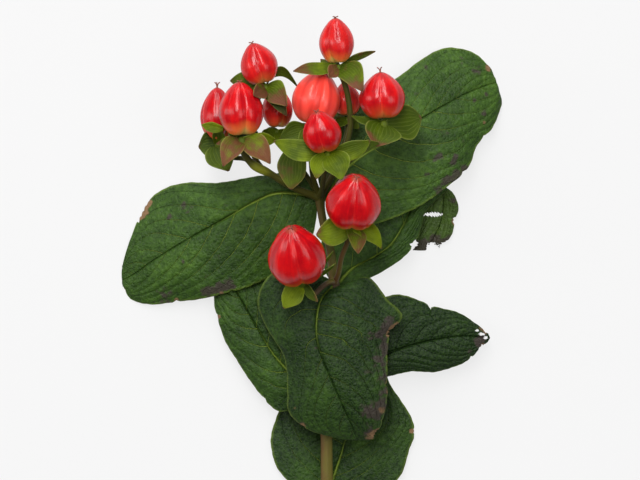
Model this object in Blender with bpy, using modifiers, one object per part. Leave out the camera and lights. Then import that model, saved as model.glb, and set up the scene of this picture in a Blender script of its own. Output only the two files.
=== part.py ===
"""A cut stem of hypericum with eleven berries, laid down on a table.

The frame: +X to the right, +Y along the stem towards the berries, +Z up from the table.
The places below are in millimetres, in a layout frame whose origin is the middle of the view;
build_point moves them to the part's own origin and to metres.
"""

import math

import bmesh
import bpy
import numpy as np
from mathutils import Quaternion, Vector

MM = 0.001
ORIGIN = (-2.2, -21.2, 0.0)
GAP = 0.35
STALK_GAP = 0.6
WELD_DISTANCE = 0.00001
SHARP_ANGLE = 50

LEAF_THICKNESS = 0.7
LEAF_ROWS = 15
LEAF_COLUMNS = 6

SEPAL_THICKNESS = 0.6
SEPAL_ROWS = 5
SEPAL_COLUMNS = 2
SEPAL_HOLLOW = 0.22
SEPAL_ROOT_SHARE = 0.13
SEPAL_TIP_SHARE = 0.93
SEPAL_FULLNESS = 0.85
KNEE_ACROSS = 0.62
KNEE_ALONG = 0.3
CUP_SIZE = 0.105
CUP_SIDES = 8
CUP_RINGS = 6

BERRY_SIDES = 24
BERRY_RINGS = 10
BERRY_LOBES = 3
BERRY_LEAN = 0.88
BERRY_FULLNESS = 0.58
GROOVE_DEPTH = 0.18
GROOVE_SHARPNESS = 1.9
GROOVE_FADE = 0.75
LOBE_DROP = 0.055
LOBE_DROP_SHARE = 0.08
TIP_POINT = 0.35

STEM_SIDES_RESOLUTION = 3
STALK_SIDES_RESOLUTION = 2
POINTS_A_STRETCH = 2
STALK_FLARE = 1.15

# The three rails of each leaf, base to tip: left margin, midrib, right margin.
LEAVES = {
    "leaf_left": {
        "left": [(-2.0, 11.9, 11.6), (-6, 15.5, 10.5), (-13, 16.3, 9.2), (-19.5, 15.4, 8), (-26, 14.3, 6.6),
                 (-33, 14.5, 3.5), (-40, 12.6, 0.2), (-44.4, 8.5, 0.2), (-47.6, 1, 0.8), (-50, -6.5, 0.4)],
        "midrib": [(-2.0, 10.6, 10.9), (-6.5, 11.6, 10.9), (-11.5, 11.6, 10.7), (-17, 9.3, 10),
                   (-23, 5.8, 9), (-29, 2.5, 7.7), (-35.5, -1.2, 6.0), (-42, -5.2, 3.8),
                   (-46.5, -8.4, 1.8), (-50, -10.2, 0.2)],
        "right": [(-1.9, 9.4, 10.6), (-1.6, 1.5, 9.6), (-5, -5.5, 8.6), (-12, -9.2, 8), (-19.5, -12.2, 7),
                  (-27, -14.2, 5.5), (-34.5, -15.4, 3.8), (-42, -16.2, 1.6), (-47.2, -15.3, 0.2),
                  (-49.8, -12.3, 0)],
        "bulge": 0.8,
    },
    "leaf_right": {
        "left": [(1.7, 11.8, 10.9), (0.9, 20, 9.4), (3.5, 31, 7.4), (11, 35.8, 6.4), (18.5, 40.2, 5.2),
                 (25.5, 45.4, 3), (32, 48.6, 0.3), (38.8, 47.3, 0), (42.6, 44, 0), (44, 41.4, 0.2)],
        "midrib": [(2.1, 10.8, 10.7), (5, 16, 10.6), (9.5, 20.3, 10.2), (15, 23.8, 9.7), (20.5, 27.2, 9),
                   (26, 30.7, 8), (31.5, 34, 6.6), (37, 37, 4.6), (42, 39, 2), (44.5, 39.8, 0.8)],
        "right": [(2.0, 9.8, 10.6), (4, 5.4, 10), (12.5, 4, 9.6), (21, 6.5, 9.2), (28.5, 10.8, 8.2),
                  (36.6, 17.4, 6.5), (39.6, 23.8, 4.8), (43.6, 28.6, 3), (45.8, 34.2, 1.2),
                  (45.2, 37.8, 0.6)],
        "bulge": 0.8,
    },
    "leaf_front": {
        "left": [(1.9, -11.9, 12.9), (-5.5, -9.8, 13.6), (-11.5, -10, 13.4), (-15.6, -14.6, 12.6),
                 (-13.6, -21.5, 12.2), (-8.9, -29.5, 12.6), (-8.2, -38, 12.6), (-7.6, -43.5, 12.2),
                 (-2.6, -47.6, 11.4), (5.4, -50.0, 10.4)],
        "midrib": [(2.4, -12.6, 12.9), (0.6, -14.6, 14.2), (-0.4, -17.4, 15.2), (-0.9, -21, 16),
                   (-0.6, -25.6, 16.4), (1.2, -31, 16.4), (3.6, -36.6, 15.8), (5.8, -41.6, 14.6),
                   (8, -46.5, 12.8), (9.4, -50.1, 10.6)],
        "right": [(3.0, -12.3, 12.9), (7, -10.6, 14), (12.4, -9.6, 14.4), (17.4, -15.2, 14.2),
                  (19.8, -19.6, 13.6), (17.2, -25, 13.8), (16.9, -33, 13.6), (16.7, -40.4, 12.8),
                  (15.4, -46.4, 11.6), (13.4, -49.9, 10.4)],
        "bulge": 0.9,
    },
    "leaf_back": {
        "left": [(2.9, -11.3, 7.6), (0.6, -5.5, 6.8), (0.8, 1.2, 6.2), (5, 7.4, 6), (11.2, 11.6, 5.8),
                 (17.4, 14.6, 5.8), (23.6, 17.4, 5.2), (26.4, 15, 2.4), (26.2, 8, 1.0), (24.2, 1.2, 0.5),
                 (23.4, -2.6, 0.3)],
        "midrib": [(3.9, -11.6, 7.8), (8, -7.2, 6.9), (13, -4.6, 6.3), (17.6, -1.4, 6), (20.8, 3.4, 5.9),
                   (23.6, 9, 5.9), (28.4, 14.6, 5.0), (31, 11.4, 2.4), (30.6, 5, 1.2), (28.6, 0.4, 0.7),
                   (26.6, -2.6, 0.3)],
        "right": [(4.9, -12.1, 7.8), (12.6, -9.6, 6.6), (19.6, -5.4, 5.8), (23.4, -1.8, 5.4),
                  (25.4, 3.2, 5.4), (27.0, 7.8, 5.2), (32.4, 12.4, 4.2), (34.8, 8.8, 2.4),
                  (34.1, 4.2, 1.6), (32.4, -0.2, 1.1), (29.6, -2.4, 0.6)],
        "bulge": 0.4,
    },
    "leaf_low_left": {
        "left": [(-0.4, -37.1, 7.0), (-9.3, -43.2, 6.2), (-15, -38.8, 5.2), (-19.8, -32, 4.4),
                 (-24, -25, 3.8), (-26.6, -16, 3.2), (-25.8, -7.2, 3)],
        "midrib": [(-0.5, -36.3, 7.4), (-6, -34.5, 7.8), (-11.5, -29, 7.4), (-15.5, -22.5, 6.6),
                   (-19, -16.5, 5.6), (-22.3, -11, 4.6), (-25.2, -6.2, 3.4)],
        "right": [(-0.3, -35.4, 7.4), (-1.4, -27, 7.2), (-4, -19.5, 6.8), (-8.5, -13.5, 6),
                  (-13.5, -9, 5.2), (-19, -6.3, 4.2), (-24.2, -5.5, 3.2)],
        "bulge": 0.6,
    },
    "leaf_low_right": {
        "left": [(3.2, -35.4, 7.4), (6.6, -24.5, 7.4), (13, -16.5, 7.4), (19.8, -13.7, 7.2),
                 (27.5, -16.3, 6.6), (35.6, -18.7, 5.6), (42.3, -23.4, 5.4)],
        "midrib": [(3.6, -36.3, 7.4), (9.5, -32, 8), (16.5, -28.7, 8), (23, -26.5, 7.6), (29.5, -25, 7),
                   (36, -24.2, 6.2), (42.8, -24.6, 5)],
        "right": [(3.2, -37.2, 7.1), (8, -37.4, 7.4), (15, -35, 7.2), (22, -33.2, 6.6), (30, -33, 5.8),
                  (37, -30.4, 5), (42, -25.8, 4.6)],
        "bulge": 0.6,
    },
    "leaf_bottom": {
        "left": [(0.6, -66.6, 1.8), (-8.5, -60.5, 2.0), (-12.2, -53.5, 1.4), (-11.5, -46, 1.1),
                 (-7, -37, 1.2), (-1, -27, 1.4), (6.5, -17.9, 1.5)],
        "midrib": [(2, -66.3, 1.5), (3.4, -60, 1.2), (5.4, -54, 0.9), (7, -47.5, 0.8), (7.8, -39, 0.9),
                   (8, -28.5, 1.2), (7.6, -17.2, 1.6)],
        "right": [(3.4, -66.6, 1.8), (18, -62, 1.6), (22.6, -53, 1.7), (23.6, -46, 1.6), (17.8, -36.5, 1.5),
                  (14.2, -26.5, 1.5), (8.7, -17.9, 1.5)],
        "bulge": 0.4,
    },
}

# A bract of the berry head: root, tip, width and roll of its one blade, as for a sepal.
BRACT_ROOT = (-4.75, 20.8, 17)
BRACT = ((-7.2, 12.6, 17.6), 6.4, 10)

# Each berry: base, tip, width and spin, then its sepals as (tip, width, roll), and for some a rise.
# Roll 0 shows a sepal's face upwards, and roll 90 its edge. A rise bends its middle towards the
# berry. Spin 0 puts a groove on top.
BERRIES = [
    {"base": (4.6, 44.2, 23.5), "tip": (3.8, 54.8, 24.5), "width": 9, "spin": 40,
     "sepals": [((-6.6, 41.9, 26.4), 3.8, 30), ((2.2, 40.2, 27), 3.6, 0), ((11.4, 36.6, 28.6), 6.2, 0),
                ((13.9, 46.4, 20.6), 2.8, 68, 1.6), ((0.2, 45, 17.6), 3.4, 40)]},
    {"base": (-13.9, 39.2, 22), "tip": (-16.8, 48.6, 23), "width": 9.4, "spin": 15,
     "sepals": [((-22.2, 39.2, 19.6), 3.6, 5, -1.2), ((-16.4, 35.7, 30), 4.2, 0, -0.5), ((-8.4, 33.0, 25.4), 5.2, 0),
                ((-5.4, 38, 15.4), 2.6, 30, 3), ((-8.2, 30.8, 23.6), 4.2, 0)]},
    {"base": (-25.6, 25.2, 16), "tip": (-25.7, 37.8, 16), "width": 8.8, "spin": 50,
     "sepals": [((-29.8, 27.4, 21.2), 2.6, 40, -1.2), ((-23.6, 17.2, 18), 7.0, 0), ((-29.8, 20.8, 16.6), 5.8, 15),
                ((-27.5, 21.5, 9.6), 3.4, 40), ((-21.2, 24, 12.6), 3.0, 30)]},
    {"base": (-19.4, 26.2, 25.5), "tip": (-20, 38.9, 26.5), "width": 11.4, "spin": -12,
     "sepals": [((-24, 18.2, 28.4), 5.8, 10), ((-10.9, 17.9, 28.4), 6.2, -10),
                ((-10.9, 24.8, 23.6), 4.2, 20), ((-25.8, 24, 21), 3.2, 40), ((-19, 24.2, 19.4), 3.2, 50)]},
    {"base": (-10.8, 28.3, 14), "tip": (-10.8, 38, 14), "width": 8, "spin": 30,
     "sepals": [((-14.8, 24.4, 16.8), 3.6, 10), ((-8.4, 23.6, 17.4), 3.4, 0), ((-14.4, 27.2, 10), 3.0, 50),
                ((-10.6, 24.4, 9.8), 3.0, 40), ((-6.6, 27.6, 10.4), 3.0, 50)]},
    {"base": (-2.4, 29.2, 20), "tip": (0.6, 42.0, 20.6), "width": 12.3, "spin": 30,
     "sepals": [((-10, 25, 21.4), 5.2, 0), ((-4.4, 21.4, 22.6), 4.2, 0), ((4.2, 25.6, 22), 4.0, 20),
                ((-6.4, 26.8, 15.2), 3.4, 40), ((1.8, 26.6, 15), 3.4, 40)]},
    {"base": (1.6, 22.4, 31.3), "tip": (-0.8, 31.3, 35.8), "width": 9.7, "spin": 20,
     "sepals": [((-12, 23.6, 30.2), 4.0, 12), ((0, 15, 33), 4.6, 0), ((5.6, 14.8, 33.6), 6.6, 0),
                ((12.4, 24.6, 31.2), 4.8, 8, -2), ((14.8, 24, 28.2), 3.6, 20)]},
    {"base": (15.8, 30.3, 24), "tip": (15, 41.4, 24), "width": 11.5, "spin": 0,
     "sepals": [((13, 22.8, 27.6), 7.6, 0), ((24.9, 27.7, 17.8), 6.8, -32, -3.2), ((7.8, 30.8, 24), 2.8, 40),
                ((19.2, 29.6, 17), 3.8, 30), ((11.2, 29, 18.4), 3.2, 40)]},
    {"base": (6.8, 31.3, 14), "tip": (6.3, 39.3, 14), "width": 7.4, "spin": 30,
     "sepals": [((3.6, 28.2, 16.8), 2.8, 20), ((9.8, 27.8, 16.6), 2.8, 20), ((3.2, 30.2, 11.4), 2.8, 50),
                ((10.8, 30.4, 11.4), 2.8, 50), ((7.2, 27.6, 11.4), 2.8, 30)]},
    {"base": (7.9, 4, 23.8), "tip": (9.2, 15.8, 32.2), "width": 13.9, "spin": 5,
     "sepals": [((-0.9, 1.4, 24), 5.8, 0), ((9.4, -3.4, 26), 4.2, 0), ((15.3, -2.2, 23.6), 4.4, 0),
                ((12.6, 3.4, 16.6), 4.0, 40), ((3.6, 3, 16.6), 4.0, 40)]},
    {"base": (-4.6, -10.6, 21.8), "tip": (-7, 2.8, 30.2), "width": 14.6, "spin": -8,
     "sepals": [((-9, -17, 22.6), 5.4, 0), ((-0.6, -15.4, 23.6), 2.6, 30), ((4.0, -5.6, 21.6), 3.2, 70),
                ((3.4, -2.6, 20), 3.0, 70), ((-8.6, -12.4, 15.6), 4.0, 40)]},
]

# The main stem, cut end to top joint, with its radius, wider at each leaf joint.
MAIN_STEM = [(2.6, -98, 1.36), (2.3, -90, 1.36), (2, -79, 2.45), (1.9, -70, 3.5), (1.8, -66, 3.9),
             (1.7, -62, 4.3), (1.6, -50, 5.7), (1.5, -39.5, 7.3), (1.5, -36.3, 7.8), (1.8, -32.5, 8.2),
             (2.8, -22, 9.4), (3.6, -14.6, 10.3), (3.5, -11.8, 10.6), (3.3, -8.6, 10.8),
             (2.6, -2.5, 11.2), (1.2, 4, 11.6), (0.4, 8, 11.9), (0, 10.6, 12.2), (0.2, 12.4, 13)]
MAIN_RADIUS = [1.55, 1.5, 1.5, 1.55, 1.85, 1.55, 1.45, 1.5, 1.75, 1.45, 1.35, 1.4, 1.6, 1.35, 1.25, 1.2,
               1.25, 1.45, 0.9]

# The stalks that fork from it. One that ends in a berry's name runs up to that berry's cup.
STALKS = [
    ("stalk_left", [(0, 10.6, 12.4), (-5, 12.4, 14.4), (-8.8, 14.3, 16.2), (-12.5, 16.6, 18.5),
                    (-16.4, 18.6, 21), (-18.6, 21, 23)], 0.8, 4),
    ("stalk_top", [(0, 10.8, 12.4), (2.4, 14.8, 15.6), (5.2, 20.4, 18), (7.4, 27, 19.6), (7.4, 32.5, 20.8),
                   (6.4, 38, 22.2)], 0.7, 1),
    ("stalk_02", [(-14.6, 17.7, 19.8), (-17, 22.5, 18.6), (-16.9, 30, 18), (-15.2, 35.6, 20)], 0.6, 2),
    ("stalk_03", [(-16, 18.4, 20.6), (-18.6, 20.2, 16.8), (-22.4, 20.8, 14.8)], 0.55, 3),
    ("stalk_05", [(-0.2, 11, 12.6), (-4, 17, 13.2), (-8.6, 22.6, 13.6)], 0.55, 5),
    ("stalk_06", [(0, 10.8, 12.6), (-1.8, 16, 15.6), (-2.4, 22, 18.4)], 0.65, 6),
    ("stalk_07", [(0, 10.8, 12.6), (0.6, 13.4, 19), (1.2, 17.6, 26.4)], 0.65, 7),
    ("stalk_08", [(3.2, 16.4, 16.2), (8, 20.4, 19.4), (13.6, 24.8, 22)], 0.6, 8),
    ("stalk_09", [(0.2, 11, 12.6), (3.6, 19, 13.2), (6.4, 25.6, 13.6)], 0.55, 9),
    ("stalk_10", [(3.6, -10.8, 11), (4.6, -8.4, 14.4), (5.4, -4.2, 18.2), (6.8, -0.6, 21)], 0.65, 10),
    ("stalk_11", [(3.3, -10.6, 11), (2.6, -10.4, 14.6), (0.6, -11.6, 17), (-1.8, -13.6, 18.4)], 0.65, 11),
]

COLOURS = {
    "stem": ((0.16, 0.12, 0.03), 0.55),
    "leaf": ((0.018, 0.058, 0.016), 0.48),
    "sepal": ((0.12, 0.17, 0.02), 0.5),
    "berry": ((0.55, 0.01, 0.015), 0.3),
    "berry_pale": ((0.72, 0.05, 0.03), 0.33),
}


def material(name, finish):
    """A Principled material of one of the COLOURS."""
    made = bpy.data.materials.new(name)
    made.use_nodes = True
    shader = made.node_tree.nodes["Principled BSDF"]
    colour, roughness = COLOURS[finish]
    shader.inputs["Base Color"].default_value = (*colour, 1)
    shader.inputs["Roughness"].default_value = roughness
    made.diffuse_color = (*colour, 1)
    return made


def build_point(point):
    """A layout point in millimetres as a point of the part in metres."""
    return Vector(point) * MM - Vector(ORIGIN) * MM


def spline(points, u):
    """The Catmull-Rom curve through points, at each parameter of u from 0 to 1."""
    knots = np.array(points, float)
    first = 2 * knots[0] - knots[1]
    last = 2 * knots[-1] - knots[-2]
    knots = np.vstack([first, knots, last])
    place = np.asarray(u) * (len(points) - 1)
    stretch = np.clip(place.astype(int), 0, len(points) - 2)
    t = (place - stretch)[:, None]
    a, b, c, d = (knots[stretch + k] for k in range(4))
    return 0.5 * (2 * b + (c - a) * t + (2 * a - 5 * b + 4 * c - d) * t**2 + (3 * b - a - 3 * c + d) * t**3)


def sheet_mesh(name, points):
    """A mesh of triangles over a grid of points in rows and columns, in the layout's millimetres."""
    rows, columns = points.shape[:2]
    shape = bmesh.new()
    verts = [shape.verts.new(build_point(p)) for p in points.reshape(-1, 3).tolist()]
    for i in range(rows - 1):
        for j in range(columns - 1):
            a = i * columns + j
            b, c, d = a + 1, a + columns + 1, a + columns
            shape.faces.new([verts[a], verts[b], verts[c]])
            shape.faces.new([verts[a], verts[c], verts[d]])
    bmesh.ops.recalc_face_normals(shape, faces=shape.faces[:])
    mesh = bpy.data.meshes.new(name)
    shape.to_mesh(mesh)
    shape.free()
    return mesh


def add_object(name, mesh, collection):
    made = bpy.data.objects.new(name, mesh)
    collection.objects.link(made)
    return made


def thicken(made, thickness):
    """Gives a sheet its thickness, half of it on each side."""
    solid = made.modifiers.new("Thickness", "SOLIDIFY")
    solid.thickness = thickness * MM
    solid.offset = 0
    solid.use_even_offset = False
    return made


def finish_smooth(mesh):
    mesh.shade_smooth()
    mesh.set_sharp_from_angle(angle=math.radians(SHARP_ANGLE))


def leaf_points(leaf):
    """Rows of points across a leaf from its left margin over the midrib to its right margin.

    Between the midrib and a margin the blade arches up by its bulge, and where it reaches the
    table it lies flat on it.
    """
    u = np.linspace(0, 1, LEAF_ROWS)
    mid = spline(leaf["midrib"], u)
    v = np.linspace(-1, 1, LEAF_COLUMNS + 1)
    points = np.zeros((LEAF_ROWS, LEAF_COLUMNS + 1, 3))
    for j, across in enumerate(v):
        margin = spline(leaf["left"] if across < 0 else leaf["right"], u)
        share = abs(across)
        points[:, j] = mid + (margin - mid) * share
        points[:, j, 2] += leaf["bulge"] * 4 * share * (1 - share) * np.sin(math.pi * u) ** 0.5
    points[:, :, 2] = np.maximum(points[:, :, 2], LEAF_THICKNESS / 2)
    return points


def make_leaf(name, leaf, collection):
    mesh = sheet_mesh(name, leaf_points(leaf))
    finish_smooth(mesh)
    made = thicken(add_object(name, mesh, collection), LEAF_THICKNESS)
    mesh.materials.append(material(name, "leaf"))
    return made


def blade_points(root, axis, tip, width, roll, rise=0):
    """Rows of points of a sepal: it leaves its root square to the berry's axis, then bends to its tip.

    The knee of that bend is moved along the axis by rise. The blade's half width grows and shrinks as
    a sine along it, and its edges turn up a little.
    """
    root, tip, axis = Vector(root), Vector(tip), Vector(axis).normalized()
    reach = tip - root
    along = axis * reach.dot(axis)
    knee = root + (reach - along) * KNEE_ACROSS + along * KNEE_ALONG + axis * rise
    ahead = reach.normalized()
    side = ahead.cross(Vector((0, 0, 1))).normalized()
    side = Quaternion(ahead, math.radians(roll)) @ side
    face = side.cross(ahead)
    t = np.linspace(0, 1, SEPAL_ROWS)
    points = np.zeros((SEPAL_ROWS, SEPAL_COLUMNS + 1, 3))
    for i, u in enumerate(t):
        middle = root * (1 - u) ** 2 + knee * 2 * u * (1 - u) + tip * u**2
        share = SEPAL_ROOT_SHARE + (SEPAL_TIP_SHARE - SEPAL_ROOT_SHARE) * u
        half = width / 2 * math.sin(math.pi * share) ** SEPAL_FULLNESS
        for j, v in enumerate(np.linspace(-1, 1, SEPAL_COLUMNS + 1)):
            points[i, j] = middle + side * half * v + face * SEPAL_HOLLOW * half * v * v
    points[:, :, 2] = np.maximum(points[:, :, 2], SEPAL_THICKNESS / 2)
    return points


def berry_axis(berry):
    return (Vector(berry["tip"]) - Vector(berry["base"])).normalized()


def cup_radius(berry):
    return CUP_SIZE * berry["width"]


def cup_centre(berry):
    """The middle of the small cup under a berry, which carries the sepals."""
    return Vector(berry["base"]) - berry_axis(berry) * (cup_radius(berry) + GAP)


def fuse(name, pieces, tools, collection, finish):
    """One object from several closed pieces, joined by one Boolean union on their collection."""
    body = pieces[0]
    tools.objects.unlink(body)
    collection.objects.link(body)
    union = body.modifiers.new("Union", "BOOLEAN")
    union.operation = "UNION"
    union.operand_type = "COLLECTION"
    union.collection = tools
    union.solver = "EXACT"
    bpy.context.view_layer.update()
    whole = bpy.data.meshes.new_from_object(body.evaluated_get(bpy.context.evaluated_depsgraph_get()))
    whole.name = name
    for piece in [body, *tools.objects]:
        bpy.data.objects.remove(piece)
    finish_smooth(whole)
    whole.materials.clear()
    whole.materials.append(material(name, finish))
    return add_object(name, whole, collection)


def solid_copy(made):
    """The same object with its modifiers applied, as a closed mesh."""
    bpy.context.view_layer.update()
    mesh = bpy.data.meshes.new_from_object(made.evaluated_get(bpy.context.evaluated_depsgraph_get()))
    made.modifiers.clear()
    made.data = mesh
    return made


def make_calyx(number, berry, tools, collection):
    """A berry's sepals, sunk into the small round cup that the berry sits on."""
    name = f"calyx_{number:02d}"
    centre = cup_centre(berry)
    shape = bmesh.new()
    radius = cup_radius(berry) * MM
    bmesh.ops.create_uvsphere(shape, u_segments=CUP_SIDES, v_segments=CUP_RINGS, radius=radius)
    mesh = bpy.data.meshes.new(name)
    shape.to_mesh(mesh)
    shape.free()
    turn = Vector((0, 0, 1)).rotation_difference(berry_axis(berry)).to_matrix().to_4x4()
    turn.translation = build_point(centre)
    mesh.transform(turn)
    pieces = [add_object(name + "_cup", mesh, tools)]
    for index, sepal_shape in enumerate(berry["sepals"]):
        points = blade_points(centre, berry_axis(berry), *sepal_shape)
        sepal = add_object(f"{name}_sepal_{index}", sheet_mesh(name, points), tools)
        pieces.append(solid_copy(thicken(sepal, SEPAL_THICKNESS)))
    return fuse(name, pieces, tools, collection, "sepal")


def berry_radius(t, phi, width):
    """How wide a berry is at share t from base to tip: a sine bent towards the base, with three lobes.

    The grooves between the lobes are deepest low down and fade out near the tip.
    """
    body = math.sin(math.pi * t**BERRY_LEAN) ** BERRY_FULLNESS * width / 2
    groove = (1 - abs(math.cos(BERRY_LOBES * phi / 2))) ** GROOVE_SHARPNESS
    return body * (1 - GROOVE_DEPTH * groove * (1 - GROOVE_FADE * t))


def make_berry(number, berry, collection):
    """A fleshy three-lobed berry with a small pointed tip, standing on its base and then turned.

    Round the base the lobes hang below it, by a drop that rises and falls as x times e to the 1 - x.
    """
    name = f"berry_{number:02d}"
    length = (Vector(berry["tip"]) - Vector(berry["base"])).length
    shape = bmesh.new()
    bmesh.ops.create_uvsphere(shape, u_segments=BERRY_SIDES, v_segments=BERRY_RINGS, radius=1)
    for vert in shape.verts:
        phi = math.atan2(vert.co.y, vert.co.x) + math.pi / 2 + math.pi / BERRY_LOBES
        rise = (1 + vert.co.z) / 2
        low = rise / LOBE_DROP_SHARE
        drop = LOBE_DROP * low * math.exp(1 - low) * abs(math.cos(BERRY_LOBES * phi / 2))
        flat = Vector((vert.co.x, vert.co.y, 0))
        if flat.length > WELD_DISTANCE:
            flat = flat.normalized() * berry_radius(rise, phi, berry["width"])
        elif rise > 0.5:
            rise += TIP_POINT / length
        vert.co = Vector((flat.x, flat.y, length * (rise - drop))) * MM
    mesh = bpy.data.meshes.new(name)
    shape.to_mesh(mesh)
    shape.free()
    finish_smooth(mesh)
    mesh.materials.append(material(name, "berry_pale" if number == 6 else "berry"))
    made = add_object(name, mesh, collection)
    made.location = build_point(berry["base"])
    made.rotation_mode = "QUATERNION"
    spin = Quaternion((0, 0, 1), math.radians(berry["spin"]))
    made.rotation_quaternion = Vector((0, 0, 1)).rotation_difference(berry_axis(berry)) @ spin
    return made


def make_tube(name, route, radii, resolution, collection):
    """A round stalk along a smooth curve through its route, closed at both ends."""
    count = (len(route) - 1) * POINTS_A_STRETCH + 1
    u = np.linspace(0, 1, count)
    places = spline(route, u)
    widths = np.interp(u, np.linspace(0, 1, len(radii)), radii)
    curve = bpy.data.curves.new(name, "CURVE")
    curve.dimensions = "3D"
    curve.bevel_depth = MM
    curve.bevel_resolution = resolution
    curve.use_fill_caps = True
    line = curve.splines.new("POLY")
    line.points.add(count - 1)
    for point, place, width in zip(line.points, places.tolist(), widths.tolist()):
        point.co = (*build_point(place), 1)
        point.radius = width
    made = add_object(name, curve, collection)
    bpy.context.view_layer.update()
    mesh = bpy.data.meshes.new_from_object(made.evaluated_get(bpy.context.evaluated_depsgraph_get()))
    bpy.data.objects.remove(made)
    shape = bmesh.new()
    shape.from_mesh(mesh)
    bmesh.ops.remove_doubles(shape, verts=shape.verts[:], dist=WELD_DISTANCE)
    bmesh.ops.triangulate(shape, faces=shape.faces[:])
    for vert in shape.verts:
        vert.co.z = max(vert.co.z, 0)
    bmesh.ops.recalc_face_normals(shape, faces=shape.faces[:])
    shape.to_mesh(mesh)
    shape.free()
    return add_object(name, mesh, collection)


def make_stem(tools, collection):
    """The main stem with every stalk that forks from it, as one body."""
    pieces = [make_tube("main", MAIN_STEM, MAIN_RADIUS, STEM_SIDES_RESOLUTION, tools)]
    for name, route, radius, number in STALKS:
        berry = BERRIES[number - 1]
        stop = cup_centre(berry) - berry_axis(berry) * (cup_radius(berry) + STALK_GAP)
        route = [*route, tuple(stop)]
        radii = [radius * STALK_FLARE] + [radius] * (len(route) - 1)
        pieces.append(make_tube(name, route, radii, STALK_SIDES_RESOLUTION, tools))
    return fuse("stem", pieces, tools, collection, "stem")


def make_bract(collection):
    points = blade_points(BRACT_ROOT, (0.2, 0.1, 1), *BRACT)
    mesh = sheet_mesh("bract", points)
    mesh.materials.append(material("bract", "sepal"))
    return thicken(add_object("bract", mesh, collection), SEPAL_THICKNESS)


def build():
    for old in list(bpy.data.objects):
        bpy.data.objects.remove(old)
    parts = bpy.data.collections.new("hypericum_berry_stem")
    tools = bpy.data.collections.new("joined_pieces")
    bpy.context.scene.collection.children.link(parts)
    bpy.context.scene.collection.children.link(tools)
    make_stem(tools, parts)
    for name, leaf in LEAVES.items():
        make_leaf(name, leaf, parts)
    make_bract(parts)
    for number, berry in enumerate(BERRIES, start=1):
        make_calyx(number, berry, tools, parts)
        make_berry(number, berry, parts)


build()
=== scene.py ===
"""A cut stem of hypericum with red berries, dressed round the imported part.

Places are in the part's layout frame, in millimetres: +X right, +Y along the stem towards the
berries, +Z up from the table. to_metres moves them to the part's own frame.
"""
import collections
import math

import bpy
import numpy as np
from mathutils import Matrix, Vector


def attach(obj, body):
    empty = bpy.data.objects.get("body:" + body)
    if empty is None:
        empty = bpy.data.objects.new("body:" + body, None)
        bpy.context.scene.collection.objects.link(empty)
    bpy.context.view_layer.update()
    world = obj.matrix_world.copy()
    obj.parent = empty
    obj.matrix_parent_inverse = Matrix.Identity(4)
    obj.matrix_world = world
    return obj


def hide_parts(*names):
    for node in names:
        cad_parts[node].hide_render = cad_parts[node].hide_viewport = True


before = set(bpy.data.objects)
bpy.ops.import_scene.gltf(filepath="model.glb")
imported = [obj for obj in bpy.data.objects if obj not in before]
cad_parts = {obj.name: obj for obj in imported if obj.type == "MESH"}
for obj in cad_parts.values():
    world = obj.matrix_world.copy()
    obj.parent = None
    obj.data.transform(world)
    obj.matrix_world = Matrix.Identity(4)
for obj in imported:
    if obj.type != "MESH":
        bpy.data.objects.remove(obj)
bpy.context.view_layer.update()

# The room is a pale table in a light tent. The table glows a little, which keeps the stem's shadow as
# faint as a light tent does. Two long soft boxes stand beyond the berries and give them their
# highlights, and a fill from the right and one from the left side soften the shade.
TABLE_SIZE = 3.0
TABLE_GLOW = 0.76
TABLE_WHITE = 0.11
# How strong the tent is overhead and at the side, and between which heights it goes over.
TENT_TOP = 0.06
TENT_SIDE = 0.12
TENT_HEIGHTS = (0.25, 0.9)
CAMERA_PLACE = (0.0022, 0.0212, 1.34833)
CAMERA_LENS = 300
LAMP_AIM = (0, 0.02, 0)
# Each soft box has its name, place, width, length and power.
SOFT_BOXES = [
    ("key", (-0.12, 0.5, 1.0), 0.24, 0.8, 11.5),
    ("back", (-0.14, 1.1, 0.5), 0.24, 0.9, 8.0),
    ("fill", (0.5, -0.1, 0.9), 0.6, 0.6, 4.2),
    ("side", (-0.7, 0.1, 0.5), 0.3, 0.7, 3.0),
]

link = bpy.context.scene.collection.objects.link
bpy.ops.mesh.primitive_plane_add(size=TABLE_SIZE)
table = bpy.context.object
table_white = bpy.data.materials.new("table_white")
table_white.use_nodes = True
table_shader = table_white.node_tree.nodes["Principled BSDF"]
for key, value in {"Base Color": (TABLE_WHITE, TABLE_WHITE, TABLE_WHITE, 1), "Roughness": 1,
                   "Specular IOR Level": 0, "Emission Color": (1, 1, 1, 1),
                   "Emission Strength": TABLE_GLOW}.items():
    table_shader.inputs[key].default_value = value
table.data.materials.append(table_white)

world = bpy.data.worlds.new("tent")
bpy.context.scene.world = world
world.use_nodes = True
tent = world.node_tree
tent_place = tent.nodes.new("ShaderNodeTexCoord")
tent_parts = tent.nodes.new("ShaderNodeSeparateXYZ")
tent_range = tent.nodes.new("ShaderNodeMapRange")
for key, value in zip(("From Min", "From Max", "To Min", "To Max"), (*TENT_HEIGHTS, TENT_SIDE, TENT_TOP)):
    tent_range.inputs[key].default_value = value
tent.links.new(tent_place.outputs["Generated"], tent_parts.inputs[0])
tent.links.new(tent_parts.outputs["Z"], tent_range.inputs["Value"])
tent.links.new(tent_range.outputs[0], tent.nodes["Background"].inputs["Strength"])
tent.nodes["Background"].inputs["Color"].default_value = (1, 1, 1, 1)
for name, place, width, length, power in SOFT_BOXES:
    lamp = bpy.data.lights.new(name, "AREA")
    lamp.shape = "RECTANGLE"
    lamp.size = width
    lamp.size_y = length
    lamp.energy = power
    box = bpy.data.objects.new(name, lamp)
    box.location = place
    box.rotation_euler = (Vector(LAMP_AIM) - box.location).to_track_quat("-Z", "Y").to_euler()
    link(box)
camera = bpy.data.objects.new("camera", bpy.data.cameras.new("camera"))
camera.data.lens = CAMERA_LENS
camera.location = CAMERA_PLACE
link(camera)
bpy.context.scene.camera = camera
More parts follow.
